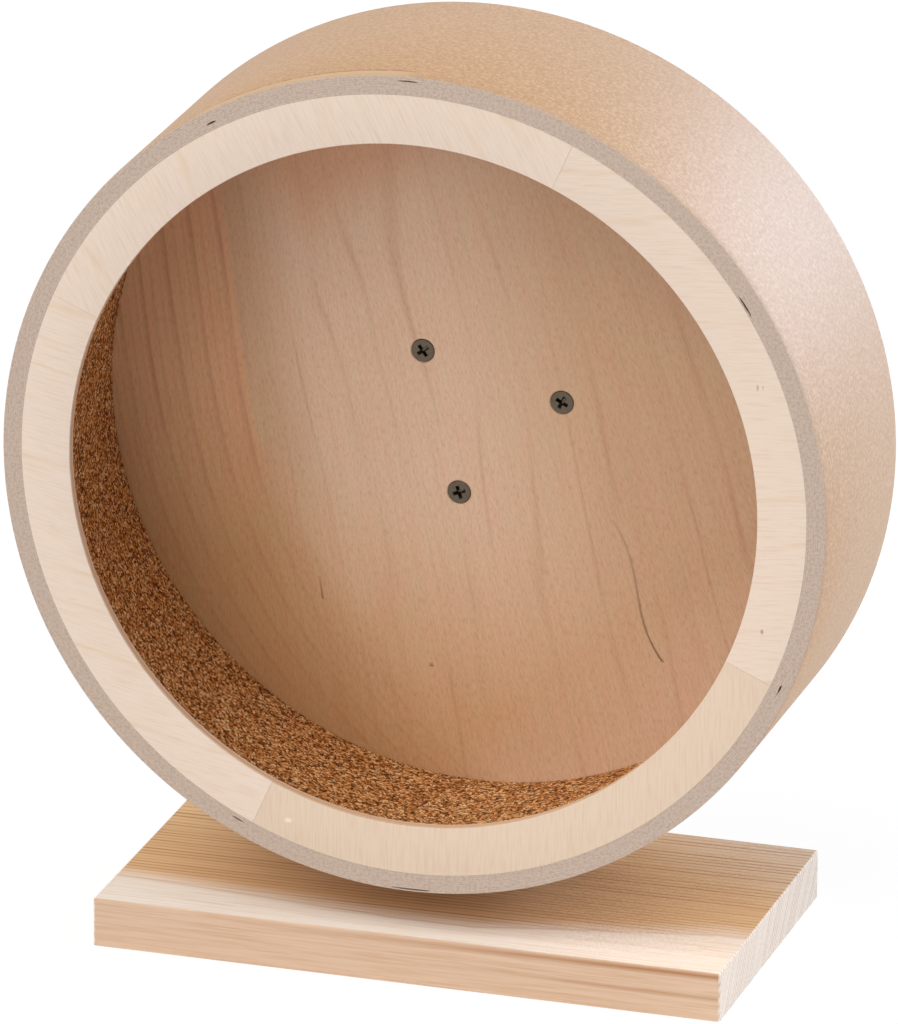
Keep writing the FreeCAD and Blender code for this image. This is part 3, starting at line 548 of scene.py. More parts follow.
def run_tree(piece, tree, inputs):
    """Runs a tree on a piece and keeps the result as the piece's plain mesh."""
    modifier = piece.modifiers.new(tree.name, "NODES")
    modifier.node_group = tree
    for item in tree.interface.items_tree:
        if item.in_out == "INPUT" and item.name in inputs:
            modifier[item.identifier] = inputs[item.name]
    graph = bpy.context.evaluated_depsgraph_get()
    mesh = bpy.data.meshes.new_from_object(
        piece.evaluated_get(graph), preserve_all_data_layers=True, depsgraph=graph
    )
    piece.modifiers.remove(modifier)
    flat = piece.data
    piece.data = mesh
    bpy.data.meshes.remove(flat)


def roll(name, mesh, tree, bend_radius, start, material, granule=MM, relief=0.0):
    """Rolls a flat mesh round the axle and gives the piece."""
    piece = new_piece(name, mesh)
    inputs = {
        "Bend Radius": bend_radius,
        "Start Angle": start,
        "Axle Height": AXLE_HEIGHT,
        "Granule Size": granule,
        "Relief": relief,
        "Material": material,
    }
    run_tree(piece, tree, inputs)
    return piece


# Materials


def streaky(add, place, millimetres, detail=2.0, roughness=0.5):
    """Noise whose features have these sizes along X, Y and Z."""
    scales = [scale_of(size) for size in millimetres]
    scaled = add("VectorMath", place, scales, operation="MULTIPLY")
    return add("TexNoise", {"Vector": scaled, "Scale": 1.0, "Detail": detail, "Roughness": roughness})


def tinted(add, shade, pattern, stops, strength):
    """A colour multiplied by the tints that a pattern gives."""
    tint = add("ValToRGB", pattern, stops=[(place, linear(tone)) for place, tone in stops])
    return add("Mix", strength, shade, tint, data_type="RGBA", blend_type="MULTIPLY")


def surfaced(material, add, shade, relief, shader):
    """Gives a material its colour, its relief as pattern, strength and depth, and its shader's own values."""
    height, strength, depth = relief
    bump = add("Bump", {"Height": height, "Strength": strength, "Distance": depth})
    surface = add("BsdfPrincipled", {"Base Color": shade, "Normal": bump, **shader})
    add("OutputMaterial", {"Surface": surface})
    return material


def growth_lines(add, years, vigour, slow):
    """A mask of growth lines: each year darkens slowly, ends sharply and is as strong as its vigour."""
    through = add("Math", years, operation="FRACT")
    year_stops = ((slow, (0, 0, 0, 1)), (0.92, (1, 1, 1, 1)), (1.0, (0, 0, 0, 1)))
    line = add("ValToRGB", through, stops=year_stops)
    return add("Math", line, vigour, operation="MULTIPLY")


def from_axle(add, place):
    """Object coordinates counted from the axle."""
    return add("Mapping", {"Vector": place, "Location": (0, 0, AXLE_HEIGHT)}, vector_type="TEXTURE")


def wound_board(paint, sizes):
    """The drum's board."""
    # Kraft board wound on a mandrel: calendered brown paper with a speckle of pale and dark fibres, drawn
    # coarser than real so that it shows. Its soft gloss turns it pale against the light. The sawn end is
    # greyer, with the glue line of each ply as a ring.
    material, add, place = new_material("Wound kraft board")
    fibre = add("TexNoise", {"Vector": place, "Scale": scale_of(1.2), "Detail": 3.0, "Roughness": 0.7})
    fibre_stops = ((0.36, paint.kraft_dark), (0.5, paint.kraft), (0.64, paint.kraft_pale))
    shade = add("ValToRGB", fibre, stops=fibre_stops)
    wall = turned_size("drum_tube")
    ply = (wall.outer - wall.inner) / sizes.drum_plies
    across = add("VectorMath", from_axle(add, place), (1, 0, 1), operation="MULTIPLY")
    radius = add("VectorMath", across, out="Value", operation="LENGTH")
    depth = add("Math", radius, wall.inner, operation="SUBTRACT")
    layer = add("Math", depth, ply, operation="DIVIDE")
    within = add("Math", layer, 0.5, operation="PINGPONG")
    glue = add("MapRange", within, *GLUE_LINE)
    grit = add("TexNoise", {"Vector": place, "Scale": scale_of(1.0), "Detail": 2.0, "Roughness": 0.6})
    sawn = add("ValToRGB", grit, stops=((0.36, paint.sawn_dark), (0.58, paint.sawn_end)))
    ringed = add("Mix", glue, sawn, paint.sawn_dark, data_type="RGBA")
    # The cut and the lap are the board's own look; the slit mask paints shade into the slits and the lap's
    # crease
    for mask, tone in {"lap": paint.kraft_pale, "cut": ringed, "slit": paint.gap}.items():
        share = add("Attribute", out="Fac", attribute_name=mask)
        shade = add("Mix", share, shade, tone, data_type="RGBA")
    shader = {"Roughness": 0.56, "IOR": 1.5, "Specular IOR Level": 0.65}
    return surfaced(material, add, shade, (fibre, 0.07, 0.12 * MM), shader)


def ring_birch(paint, sizes):
    """The front ring's plywood."""
    # Sanded birch plywood: nearly white, even wood whose thin growth lines come and go, with a silky fibre,
    # drawn coarser than real so that it shows, and a few small flecks. The core ply is a darker band on the
    # inner edge.
    material, add, place = new_material("Sanded birch plywood")
    grain = add("UVMap", uv_map="grain")
    across = add("SeparateXYZ", grain, out="X")
    bend = add("Math", streaky(add, grain, (45, 200, 45)), RING_WANDER, operation="MULTIPLY")
    years = add("Math", across, 1 / sizes.ring_year, bend, operation="MULTIPLY_ADD")
    vigour = add("MapRange", streaky(add, grain, (17, 60, 17), detail=1.0), *RING_VIGOUR)
    lines = growth_lines(add, years, vigour, 0.84)
    warmth = add("Attribute", out="Fac", attribute_name="warmth")
    wood = add("Mix", warmth, paint.ring, paint.ring_warm, data_type="RGBA")
    shade = add("Mix", lines, wood, paint.ring_line, data_type="RGBA")
    # Each fleck is full to two fifths of its half sizes and gone at its rim
    for fleck in RING_FLECKS:
        spot = (fleck.x * MM, 0, fleck.z * MM + AXLE_HEIGHT)
        size = (scale_of(fleck.wide), 0, scale_of(fleck.tall))
        away = add("VectorMath", place, spot, operation="SUBTRACT")
        away = add("VectorMath", away, size, operation="MULTIPLY")
        reach = add("VectorMath", away, out="Value", operation="LENGTH")
        mask = add("MapRange", reach, 1.0, 0.4, 0.0, fleck.strength)
        shade = add("Mix", mask, shade, getattr(paint, fleck.tone), data_type="RGBA")
    fibre = streaky(add, grain, (0.6, 12, 1), detail=3.0, roughness=0.6)
    brushed = tinted(add, shade, fibre, ((0.30, "#F7F1EB"), (0.55, "#FFFFFF")), 1.0)
    core = add("Attribute", out="Fac", attribute_name="core")
    shade = add("Mix", core, brushed, paint.ply_core, data_type="RGBA")
    shader = {"Roughness": 0.55, "IOR": 1.5, "Specular IOR Level": 0.4}
    return surfaced(material, add, shade, (fibre, 0.12, 0.1 * MM), shader)


def polynomial(add, value, terms):
    """A polynomial of a value, with its terms from the highest power down."""
    total = terms[0]
    for term in terms[1:]:
        total = add("Math", total, value, term, operation="MULTIPLY_ADD")
    return total


def grain_mark(add, along, aside, mark):
    """A mask for a thin dark mark in the veneer, from how far up and how far aside of its line a place is."""
    gap = add("Math", aside, operation="ABSOLUTE")
    side = add("MapRange", gap, 0.4 * mark.width, mark.width, 1.0, 0.0)
    rise = add("MapRange", along, mark.high, mark.low, 0.2, 0.9)
    end = add("Math", along, mark.low, operation="GREATER_THAN")
    start = add("Math", along, mark.high, operation="LESS_THAN")
    inside = add("Math", end, start, operation="MULTIPLY")
    body = add("Math", side, inside, operation="MULTIPLY")
    return add("Math", body, rise, operation="MULTIPLY")


def sloped_zone(add, aside, up, slope, fade):
    """A mask that fades over a height that slopes from side to side."""
    return add("MapRange", add("Math", aside, slope, up, operation="MULTIPLY_ADD"), *fade)


def pointed_zone(add, x, z, zone):
    """A mask for a zone of the disc that narrows to a point at its top or foot."""
    side = add("Math", x, zone.left, operation="ADD")
    return sloped_zone(add, add("Math", side, operation="ABSOLUTE"), z, zone.slope, zone.fade)


def disc_heartwood(add, paint, sizes, sides, swing, patchy):
    """The disc's heartwood: the mask of where it is, its colour and its growth lines."""
    # It fills the left, up to a sharp edge that the lines in it follow; lower down it turns golden, and far in
    # at the left it is painted paler, as painted light that lifts the shade of the drum's left wall
    x, z = sides["X"], sides["Z"]
    beside = add("Math", x, polynomial(add, z, HEART_EDGE), operation="SUBTRACT")
    inside = add("Math", swing, HEART_WANDER, beside, operation="MULTIPLY_ADD")
    years = add("Math", inside, 1 / sizes.heart_year, HEART_FIRST_LINE, operation="MULTIPLY_ADD")
    broad_lines = growth_lines(add, years, add("MapRange", patchy, *HEART_VIGOUR), 0.70)
    fine_years = add("Math", years, FINE_LINES, operation="MULTIPLY")
    fine_lines = growth_lines(add, fine_years, FINE_VIGOUR, 0.5)
    lines = add("Math", broad_lines, fine_lines, operation="MAXIMUM")
    blur = add("MapRange", z, *HEART_BLUR)
    far_side = add("Math", blur, -1.0, operation="MULTIPLY")
    mask = add("MapRange", inside, blur, far_side)
    # Far inside, the heartwood is painted paler as painted light on the disc's shaded left
    reddish = add("MapRange", inside, *HEART_RED)
    wood = add("Mix", reddish, paint.disc_outer_painted_light, paint.disc_heart, data_type="RGBA")
    golden = add("MapRange", z, *HEART_GOLD)
    wood = add("Mix", golden, wood, paint.disc_gold, data_type="RGBA")
    return mask, wood, lines


def disc_sapwood(add, paint, sides, swing, across):
    """The colour of the disc's sapwood."""
    # Palest down the middle, golden at the foot, partly the wood's own tone and partly painted warm light
    # bounced from the cork, where it ends in a pointed flame, painted paler in the lower right corner as
    # painted light, and with a reddish tongue that hangs from the top
    x, z = sides["X"], sides["Z"]
    eased = add("Math", swing, SAP_WANDER, across, operation="MULTIPLY_ADD")
    zone = add("MapRange", eased, *DISC_SPAN)
    zone_stops = ((0.22, paint.disc), (0.30, paint.disc_pale), (0.48, paint.disc_pale), (0.66, paint.disc))
    wood = add("ValToRGB", zone, stops=zone_stops)
    wavy = add("Math", swing, ZONE_WANDER, x, operation="MULTIPLY_ADD")
    foot_and_bounce = sloped_zone(add, x, z, FOOT_SLOPE, FOOT_AND_BOUNCE)
    foot_and_bounce = add("Math", foot_and_bounce, pointed_zone(add, wavy, z, FLAME), operation="MAXIMUM")
    # The warm foot: the wood's tone together with painted warm light bounced from the cork
    wood = add("Mix", foot_and_bounce, wood, paint.disc_warm_and_bounce, data_type="RGBA")
    # Painted light: the lower right corner is painted paler
    corner = sloped_zone(add, x, z, CORNER_SLOPE, PAINTED_LIGHT_CORNER)
    wood = add("Mix", corner, wood, paint.disc_pale, data_type="RGBA")
    tongue = pointed_zone(add, wavy, z, TONGUE)
    return add("Mix", tongue, wood, paint.disc_heart, data_type="RGBA")


def disc_birch(paint, sizes):
    """The back disc's plywood."""
    # Rotary-cut birch veneer with a thin clear oil: warm and satin, with wandering growth lines that come and
    # go, pinkish heartwood in close lines at the left, a faint mottle, fibres and pores along the grain that
    # are drawn coarser than real so that they show, and a few thin mineral streaks.
    material, add, place = new_material("Oiled birch veneer")
    sides = add("SeparateXYZ", from_axle(add, place)).node.outputs
    lean = add("Math", sides["Z"], GRAIN_LEAN, sides["X"], operation="MULTIPLY_ADD")
    fan = add("Math", sides["Z"], GRAIN_FAN, 1.0, operation="MULTIPLY_ADD")
    across = add("Math", lean, fan, operation="DIVIDE")
    grain = add("CombineXYZ", across, sides["Z"])
    swing = add("Math", streaky(add, grain, (48, 230, 48)), 0.5, operation="SUBTRACT")
    patchy = streaky(add, grain, (24, 70, 24), detail=1.0)
    bent = add("Math", swing, LINE_WANDER, across, operation="MULTIPLY_ADD")
    sap_years = add("Math", bent, 1 / sizes.disc_year, operation="MULTIPLY")
    sap_lines = growth_lines(add, sap_years, add("MapRange", patchy, *DISC_VIGOUR), 0.80)
    in_heart, heart, heart_lines = disc_heartwood(add, paint, sizes, sides, swing, patchy)
    sap = disc_sapwood(add, paint, sides, swing, across)
    wood = add("Mix", in_heart, sap, heart, data_type="RGBA")
    lines = add("Mix", in_heart, sap_lines, heart_lines)
    shade = add("Mix", lines, wood, paint.disc_line, data_type="RGBA")
    mottle = streaky(add, grain, (7, 18, 7), detail=3.0, roughness=0.6)
    shade = tinted(add, shade, mottle, ((0.36, "#FFF1F0"), (0.64, "#FBFBF6")), 0.5)
    fibres = streaky(add, grain, (1.3, 42, 1), detail=3.0, roughness=0.6)
    shade = tinted(add, shade, fibres, ((0.34, "#EDE2D8"), (0.6, "#FFFFFF")), 0.32)
    pores = streaky(add, grain, (0.5, 2.6, 1), detail=3.0, roughness=0.75)
    shade = tinted(add, shade, pores, ((0.32, "#D9C6B6"), (0.5, "#F8F3EE"), (0.68, "#FFFFFF")), 0.6)
    from_streak = add("Math", sides["X"], polynomial(add, sides["Z"], LONG_STREAK), operation="SUBTRACT")
    ragged = add("Math", pores, 0.5, operation="SUBTRACT")
    from_streak = add("Math", ragged, STREAK_RAGGED, from_streak, operation="MULTIPLY_ADD")
    marks = grain_mark(add, sides["Z"], from_streak, STREAK_MARK)
    for left, mark in DISC_FLECKS.items():
        from_fleck = add("Math", across, left, operation="ADD")
        marks = add("Math", marks, grain_mark(add, sides["Z"], from_fleck, mark), operation="MAXIMUM")
    shade = add("Mix", marks, shade, paint.mark, data_type="RGBA")
    shader = {"Roughness": 0.45, "IOR": 1.5, "Specular IOR Level": 0.4}
    return surfaced(material, add, shade, (pores, 0.12, 0.1 * MM), shader)


def pressed_cork(paint, sizes):
    """The running face's cork."""
    # Agglomerated cork sheet: small granules of bark pressed with binder, each its own shade of brown, with
    # dark bark between them and a dry, rough surface.
    material, add, place = new_material("Pressed cork")
    scale = 1 / sizes.granule
    grit = add("TexNoise", {"Vector": place, "Scale": scale, "Detail": 2.0, "Roughness": 0.6}, out="Color")
    shake = (0.5 * sizes.granule,) * 3
    shaken = add("VectorMath", grit, shake, place, operation="MULTIPLY_ADD")
    cells = add("TexVoronoi", {"Vector": shaken, "Scale": scale}, out="Color")
    chance = add("SeparateColor", cells, out="Red")
    granule_stops = (
        (0.06, paint.cork_dark),
        (0.26, linear("#8E5220")),
        (0.5, paint.cork),
        (0.76, linear("#DCA264")),
        (0.94, paint.cork_pale),
    )
    granules = add("ValToRGB", chance, stops=granule_stops)
    specks = add("TexNoise", {"Vector": place, "Scale": scale_of(0.7), "Detail": 2.0, "Roughness": 0.6})
    bark = add("MapRange", specks, *BARK)
    shade = add("Mix", bark, granules, paint.cork_dark, data_type="RGBA")
    shader = {"Roughness": 0.85, "IOR": 1.4, "Specular IOR Level": 0.3}
    return surfaced(material, add, shade, (specks, 0.6, 0.5 * MM), shader)


def pine_face(add, paint, board, sides, drift, lines):
    """The long faces of a pine board: sapwood, heartwood and the thin dark line where they meet."""
    x, y = sides["X"], sides["Y"]
    inset = add("Math", y, add("MapRange", x, *RIGHT_FLARE), operation="SUBTRACT")
    inset = add("Math", inset, add("MapRange", x, *LEFT_FLARE), operation="SUBTRACT")
    inward = add("Math", drift, BAND_WANDER, inset, operation="MULTIPLY_ADD")
    in_heart = add("MapRange", inward, board.sapwood, board.sapwood + BAND_BLUR)
    # Painted shade: the sapwood is dulled to the right, where more light falls on it
    dull_shade = add("MapRange", x, *DULL_SAPWOOD_SHADE)
    sap = add("Mix", dull_shade, paint.pine_pale, paint.pine, data_type="RGBA")
    corner = sloped_zone(add, x, y, REAR_SLOPE, REAR_CORNER)
    heart = add("Mix", corner, paint.pine, paint.pine_pale, data_type="RGBA")
    early = add("Mix", in_heart, sap, heart, data_type="RGBA")
    start, end, low, high = PINE_LINES
    past_band = (board.sapwood + start, board.sapwood + end, low, high)
    shown = add("Math", lines, add("MapRange", inward, *past_band), operation="MULTIPLY")
    face = add("Mix", shown, early, paint.pine_line, data_type="RGBA")
    from_band = add("Math", inward, board.sapwood + BAND_RIM_DEPTH, operation="SUBTRACT")
    near_band = add("Math", from_band, operation="ABSOLUTE")
    rim = add("MapRange", near_band, *BAND_RIM)
    return add("Mix", rim, face, paint.pine_line, data_type="RGBA")


def pine_edge(add, paint, board, sides, drift, lines):
    """The front edge of a pine board, with its late-wood streaks."""
    x = sides["X"]
    shown = add("Math", lines, add("MapRange", x, *EDGE_LINES), operation="MULTIPLY")
    for streak in board.streaks:
        rise = add("Math", x, -streak.slope, sides["Z"], operation="MULTIPLY_ADD")
        shake = add("Math", drift, -STREAK_WANDER, rise, operation="MULTIPLY_ADD")
        above = add("Math", shake, streak.height * MM - STREAK_WANDER / 2, operation="SUBTRACT")
        above = add("Math", above, operation="ABSOLUTE")
        mask = add("MapRange", above, 0.0, streak.width * MM, streak.strength, 0.0)
        along = add("MapRange", x, streak.start * MM, streak.full * MM)
        mask = add("Math", mask, along, operation="MULTIPLY")
        shown = add("Math", shown, mask, operation="MAXIMUM")
    return add("Mix", shown, paint.pine_front, paint.pine_line, data_type="RGBA")


def planed_pine(name, paint, sizes, board):
    """A board of the stand."""
    # Planed pine: soft early wood between thin orange-brown late wood, whose rings show as lines along the
    # board and as leaning lines on its sawn ends. The sapwood side is almost white, the sawn ends are pale
    # and dry, and the fibre is drawn coarser than real so that it shows.
    material, add, place = new_material(name)
    turned = add("Mapping", {"Vector": place, "Rotation": board.turn}, vector_type="TEXTURE")
    sides = add("SeparateXYZ", turned).node.outputs
    drift = streaky(add, turned, (420, 40, 40))
    from_pith = add("VectorMath", turned, (0, *board.pith), operation="SUBTRACT")
    cross = add("VectorMath", from_pith, (0, 1, 1), operation="MULTIPLY")
    ring = add("VectorMath", cross, out="Value", operation="LENGTH")
    slope = add("Math", sides["X"], PINE_TAPER, ring, operation="MULTIPLY_ADD")
    bent = add("Math", drift, PINE_WANDER, slope, operation="MULTIPLY_ADD")
    years = add("Math", bent, 1 / sizes.pine_year, operation="MULTIPLY")
    far = add("Math", sides["X"], scale_of(260), operation="MULTIPLY")
    rank = add("CombineXYZ", years, far)
    vigour = add("TexNoise", {"Vector": rank, "Scale": 0.55, "Detail": 1.0}, noise_dimensions="2D")
    lines = growth_lines(add, years, add("MapRange", vigour, *PINE_VIGOUR), 0.45)
    face = pine_face(add, paint, board, sides, drift, lines)
    edge = pine_edge(add, paint, board, sides, drift, lines)
    at_edge = add("MapRange", sides["Y"], board.edge + SKIN_START, board.edge + SKIN_FULL)
    wood = add("Mix", at_edge, face, edge, data_type="RGBA")
    faint = add("Math", lines, SAWN_LINES, operation="MULTIPLY")
    sawn = add("Mix", faint, paint.pine_end, paint.pine_line, data_type="RGBA")
    outward = add("Math", sides["X"], operation="ABSOLUTE")
    at_end = add("MapRange", outward, board.end - SKIN_START, board.end - SKIN_FULL)
    wood = add("Mix", at_end, wood, sawn, data_type="RGBA")
    fibre = streaky(add, turned, (30, 0.7, 0.7), detail=3.0, roughness=0.65)
    shade = tinted(add, wood, fibre, ((0.30, "#EDE0D3"), (0.55, "#FFFFFF")), 0.8)
    shader = {"Roughness": 0.65, "IOR": 1.5, "Specular IOR Level": 0.2}
    return surfaced(material, add, shade, (fibre, 0.2, 0.15 * MM), shader)


def steamed_beech(paint):
    """The hub block and dowels."""
    # Steamed beech: even pinkish tan, with short brown rays that look like dashes along the grain.
    material, add, place = new_material("Steamed beech")
    rays = streaky(add, place, (9, 2.0, 0.7))
    ray_stops = ((0.33, paint.beech_fleck), (0.42, paint.beech), (0.75, linear("#DBB48D")))
    shade = add("ValToRGB", rays, stops=ray_stops)
    shader = {"Roughness": 0.5, "IOR": 1.5, "Specular IOR Level": 0.4}
    return surfaced(material, add, shade, (rays, 0.15, 0.1 * MM), shader)


def metal(name, shade, roughness, grit):
    """A metal whose gloss varies a little over patches this many millimetres wide."""
    material, add, place = new_material(name)
    patch = add("TexNoise", {"Vector": place, "Scale": scale_of(grit), "Detail": 3.0, "Roughness": 0.6})
    gloss = add("MapRange", patch, 0.3, 0.7, 0.75 * roughness, 1.3 * roughness)
    darker = [0.8 * channel for channel in shade[:3]] + [1.0]
    tone = add("ValToRGB", patch, stops=((0.3, darker), (0.6, shade)))
    return surfaced(material, add, tone, (patch, 0.1, 0.05 * MM), {"Metallic": 1.0, "Roughness": gloss})


def moulded_nylon(paint):
    """The bearing's cage and the nut's locking ring."""
    # Moulded nylon: off-white and slightly waxy, with a faint cloudiness.
    material, add, place = new_material("Moulded nylon")
    cloud = add("TexNoise", {"Vector": place, "Scale": scale_of(3), "Detail": 2.0})
    shade = add("ValToRGB", cloud, stops=((0.3, linear("#D6D3C8")), (0.7, paint.nylon)))
    return surfaced(material, add, shade, (cloud, 0.1, 0.05 * MM), {"Roughness": 0.45, "IOR": 1.53})


# Pieces


def drum_rows(wall, sizes):
    """The drum's section as depths and radii, in one loop: sawn front end, outside, back end and inside."""
    ply = (wall.outer - wall.inner) / sizes.drum_plies
    lip = 0.12 * MM
    glue_lines = wall.inner + ply * np.arange(1, sizes.drum_plies)
    middles = wall.inner + ply * (np.arange(sizes.drum_plies) + 0.5)
    sawn = np.sort(np.concatenate([glue_lines - lip, glue_lines, glue_lines + lip, middles]))
    sawn = np.concatenate([[wall.inner + sizes.glued_arris], sawn, [wall.outer - sizes.board_arris]])
    lap_rows = wall.front + sizes.lap + np.array([-1.1, -0.55, 0.0, 0.55, 1.1]) * MM
    outside = np.concatenate([[wall.front + sizes.board_arris], lap_rows, [wall.back - sizes.board_arris]])
    inside = np.array([wall.back - sizes.glued_arris, wall.front + sizes.glued_arris])
    soft = ARRIS_MIDDLE * sizes.board_arris
    depth = [np.full(len(sawn), wall.front), [wall.front + soft], outside, [wall.back - soft]]
    depth += [np.full(len(sawn), wall.back), inside]
    radius = [sawn, [wall.outer - soft], np.full(len(outside), wall.outer), [wall.outer - soft]]
    radius += [sawn[::-1], np.full(len(inside), wall.inner)]
    return np.concatenate(depth), np.concatenate(radius), glue_lines


class WHEEL_OT_drum_tube(bpy.types.Operator):
    """Roll the drum from wound board, with its sawn plies, sprung gaps and lapped outer ply"""

    bl_idname = "exercise_wheel.drum_tube"
    bl_label = "Drum Tube"

    def execute(self, context):
        sizes = context.scene.wheel_sizes
        wall = turned_size("drum_tube")
        depth, radius, glue_lines = drum_rows(wall, sizes)
        columns = 900
        skin = 0.1 * MM
        groove = 0.06 * MM
        angle = np.linspace(0.0, math.tau, columns + 1)[:, None]
        at_front = depth < wall.front + skin
        at_back = depth > wall.back - skin
        on_glue = np.isclose(radius[:, None], glue_lines[None, :], atol=1e-6).any(axis=1)
        row_depth = np.repeat(depth[None, :], columns + 1, axis=0)
        row_radius = np.repeat(radius[None, :], columns + 1, axis=0)
        row_depth += groove * (on_glue & at_front) - groove * (on_glue & at_back)
        # Painted shade for the slits and for the crease behind the lap
        slit_shade = np.zeros_like(row_depth)
        # A slit pushes the sawn end aside this far round it
        reach = 1.5 * MM
        for slit in SLITS:
            line = glue_lines[slit.ply - 1]
            along = np.angle(np.exp(1j * (angle - math.radians(slit.angle)))) * line / (slit.length / 2 * MM)
            opening = np.sqrt(np.clip(1 - along**2, 0, 1))
            offset = radius - line
            spread = np.sign(np.round(offset, 6)) * np.clip(1 - np.abs(offset) / reach, 0, 1)
            row_radius += opening * spread * at_front * slit.gape / 2 * MM
            inside = np.isclose(radius, line, atol=1e-6) & at_front
            row_depth += opening * inside * sizes.slit_depth
            slit_shade += opening * inside * slit.shade
        lap_angle = np.degrees(angle)
        from_start, to_end = lap_angle - LAP_START, LAP_END - lap_angle
        window = np.clip(from_start / LAP_FADE, 0, 1) * np.clip(to_end / LAP_FADE, 0, 1)
        # The crease's painted shade comes and goes along it
        broken = 0.6 + 0.4 * np.sin(lap_angle * 2.1) * np.sin(lap_angle * 0.7 + 1)
        on_lap = np.isclose(depth, wall.front + sizes.lap) & np.isclose(radius, wall.outer)
        before_lap = (depth < wall.front + sizes.lap - LAP_CREASE) & (radius > wall.outer - skin)
        row_radius -= window * on_lap * LAP_CREASE
        slit_shade += window * broken * on_lap * LAP_SHADE
        points = np.stack([angle * wall.outer + 0 * row_radius, row_depth, row_radius - wall.outer], axis=2)
        mesh = loops_mesh("drum_tube_board", points, capped=False)
        # The sawn look covers the ends and fades over their arrises
        from_end = np.minimum(depth - wall.front, wall.back - depth)
        ends = np.clip(1.2 - from_end / sizes.board_arris, 0, 1) + np.zeros_like(row_depth)
        set_values(mesh, "cut", ends)
        set_values(mesh, "slit", np.clip(slit_shade, 0, 1))
        set_values(mesh, "lap", window * before_lap)
        material = wound_board(context.scene.wheel_colours, sizes)
        piece = roll("drum_tube_board", mesh, rolled_sheet(), wall.outer, 0.0, material)
        close_up(piece.data)
        stand_for(piece, "drum_tube")
        return {"FINISHED"}


class WHEEL_OT_front_ring(bpy.types.Operator):
    """Cut the front ring's four plywood quarters, each with its own run of grain"""

    bl_idname = "exercise_wheel.front_ring"
    bl_label = "Front Ring"

    def execute(self, context):
        sizes = context.scene.wheel_sizes
        material = ring_birch(context.scene.wheel_colours, sizes)
        tree = rolled_sheet()
        columns = 120
        for number, (node, (grain, warmth)) in enumerate(RING_GRAIN.items()):
            quarter = self.squeeze_glue(turned_size(node), sizes.glue)
            depth, radius = self.section(quarter, sizes.board_arris, sizes.glued_arris)
            run = np.linspace(0.0, quarter.end - quarter.start, columns + 1)[:, None] * quarter.outer
            points = np.stack(np.broadcast_arrays(run, depth, radius - quarter.outer), axis=2)
            mesh = loops_mesh(f"{node}_plywood", points)
            middle = (quarter.front + quarter.back) / 2
            core_half = 0.2 * (quarter.back - quarter.front)
            core = (np.abs(depth - middle) < core_half) & (radius < quarter.inner + NEAR)
            set_values(mesh, "core", np.broadcast_to(core, points.shape[:2]))
            set_values(mesh, "warmth", np.full(points.shape[:2], warmth))
            piece = roll(f"{node}_plywood", mesh, tree, quarter.outer, quarter.start, material)
            close_up(piece.data)
            self.lay_grain(piece.data, math.radians(grain), GRAIN_SHIFT * number)
            stand_for(piece, node)
        return {"FINISHED"}

    def squeeze_glue(self, quarter, glue):
        """The quarter with its glued sides grown by the glue that fills its joints."""
        swing = 0.4 * glue / quarter.outer
        start, end = quarter.start - swing, quarter.end + swing
        return quarter._replace(outer=quarter.outer + glue, start=start, end=end)

    def section(self, quarter, arris, glued):
        """The ring's section as depths and radii, with soft edges and rows for the plies at the mouth."""
        low, high, inner, outer = quarter.front, quarter.back, quarter.inner, quarter.outer
        soft = ARRIS_MIDDLE * arris
        rows = 13
        plies = np.linspace(high - arris, low + arris, rows)
        glued_side = [(low, outer - glued), (low + glued, outer)]
        glued_side += [(high - glued, outer), (high, outer - glued)]
        mouth_side = [(high, inner + arris), (high - soft, inner + soft)]
        mouth_side += [(depth, inner) for depth in plies]
        mouth_side += [(low + soft, inner + soft), (low, inner + arris)]
        return np.array(glued_side + mouth_side).T

    def lay_grain(self, mesh, angle, offset):
        """A UV map in metres with U across the grain and V along it, shifted so that each quarter differs."""
        corner = np.empty(len(mesh.loops), int)
        mesh.loops.foreach_get("vertex_index", corner)
        x, _, z = mesh_points(mesh)[corner].T
        z = z - AXLE_HEIGHT
        along = x * math.cos(angle) + z * math.sin(angle)
        across = z * math.cos(angle) - x * math.sin(angle)
        layer = mesh.uv_layers.new(name="grain")
        layer.data.foreach_set("uv", np.stack([across + offset, along + offset], axis=1).ravel())


class WHEEL_OT_cork_liner(bpy.types.Operator):
    """Roll the cork sheet that lines the drum, with its granules and its butt seam at the top"""

    bl_idname = "exercise_wheel.cork_liner"
    bl_label = "Cork Liner"

    def execute(self, context):
        sizes = context.scene.wheel_sizes
        liner = turned_size("cork_liner")
        grid = 0.9 * MM
        seam = 0.4 * MM
        soft = 0.3 * MM
        run = math.tau * liner.inner - seam
        columns = round(run / grid)
        rows = round((liner.back - liner.front) / grid)
        face_rows = np.linspace(liner.front + soft, liner.back - soft, rows)
        depth = np.concatenate([face_rows, [liner.back, liner.back, liner.front, liner.front]])
        sides = [liner.inner + soft, liner.outer, liner.outer, liner.inner + soft]
        radius = np.concatenate([np.full(len(face_rows), liner.inner), sides])
        along = np.linspace(0.0, run, columns + 1)[:, None]
        points = np.stack(np.broadcast_arrays(along, depth, radius - liner.inner), axis=2)
        mesh = loops_mesh("cork_liner_sheet", points)
        set_values(mesh, "running", np.broadcast_to(radius < liner.inner + NEAR, points.shape[:2]))
        material = pressed_cork(context.scene.wheel_colours, sizes)
        start = math.pi / 2 + seam / 2 / liner.inner
        lumps = (sizes.lump, sizes.granule_relief)
        piece = roll("cork_liner_sheet", mesh, rolled_sheet(), liner.inner, start, material, *lumps)
        close_up(piece.data, crease=75.0)
        stand_for(piece, "cork_liner")
        return {"FINISHED"}


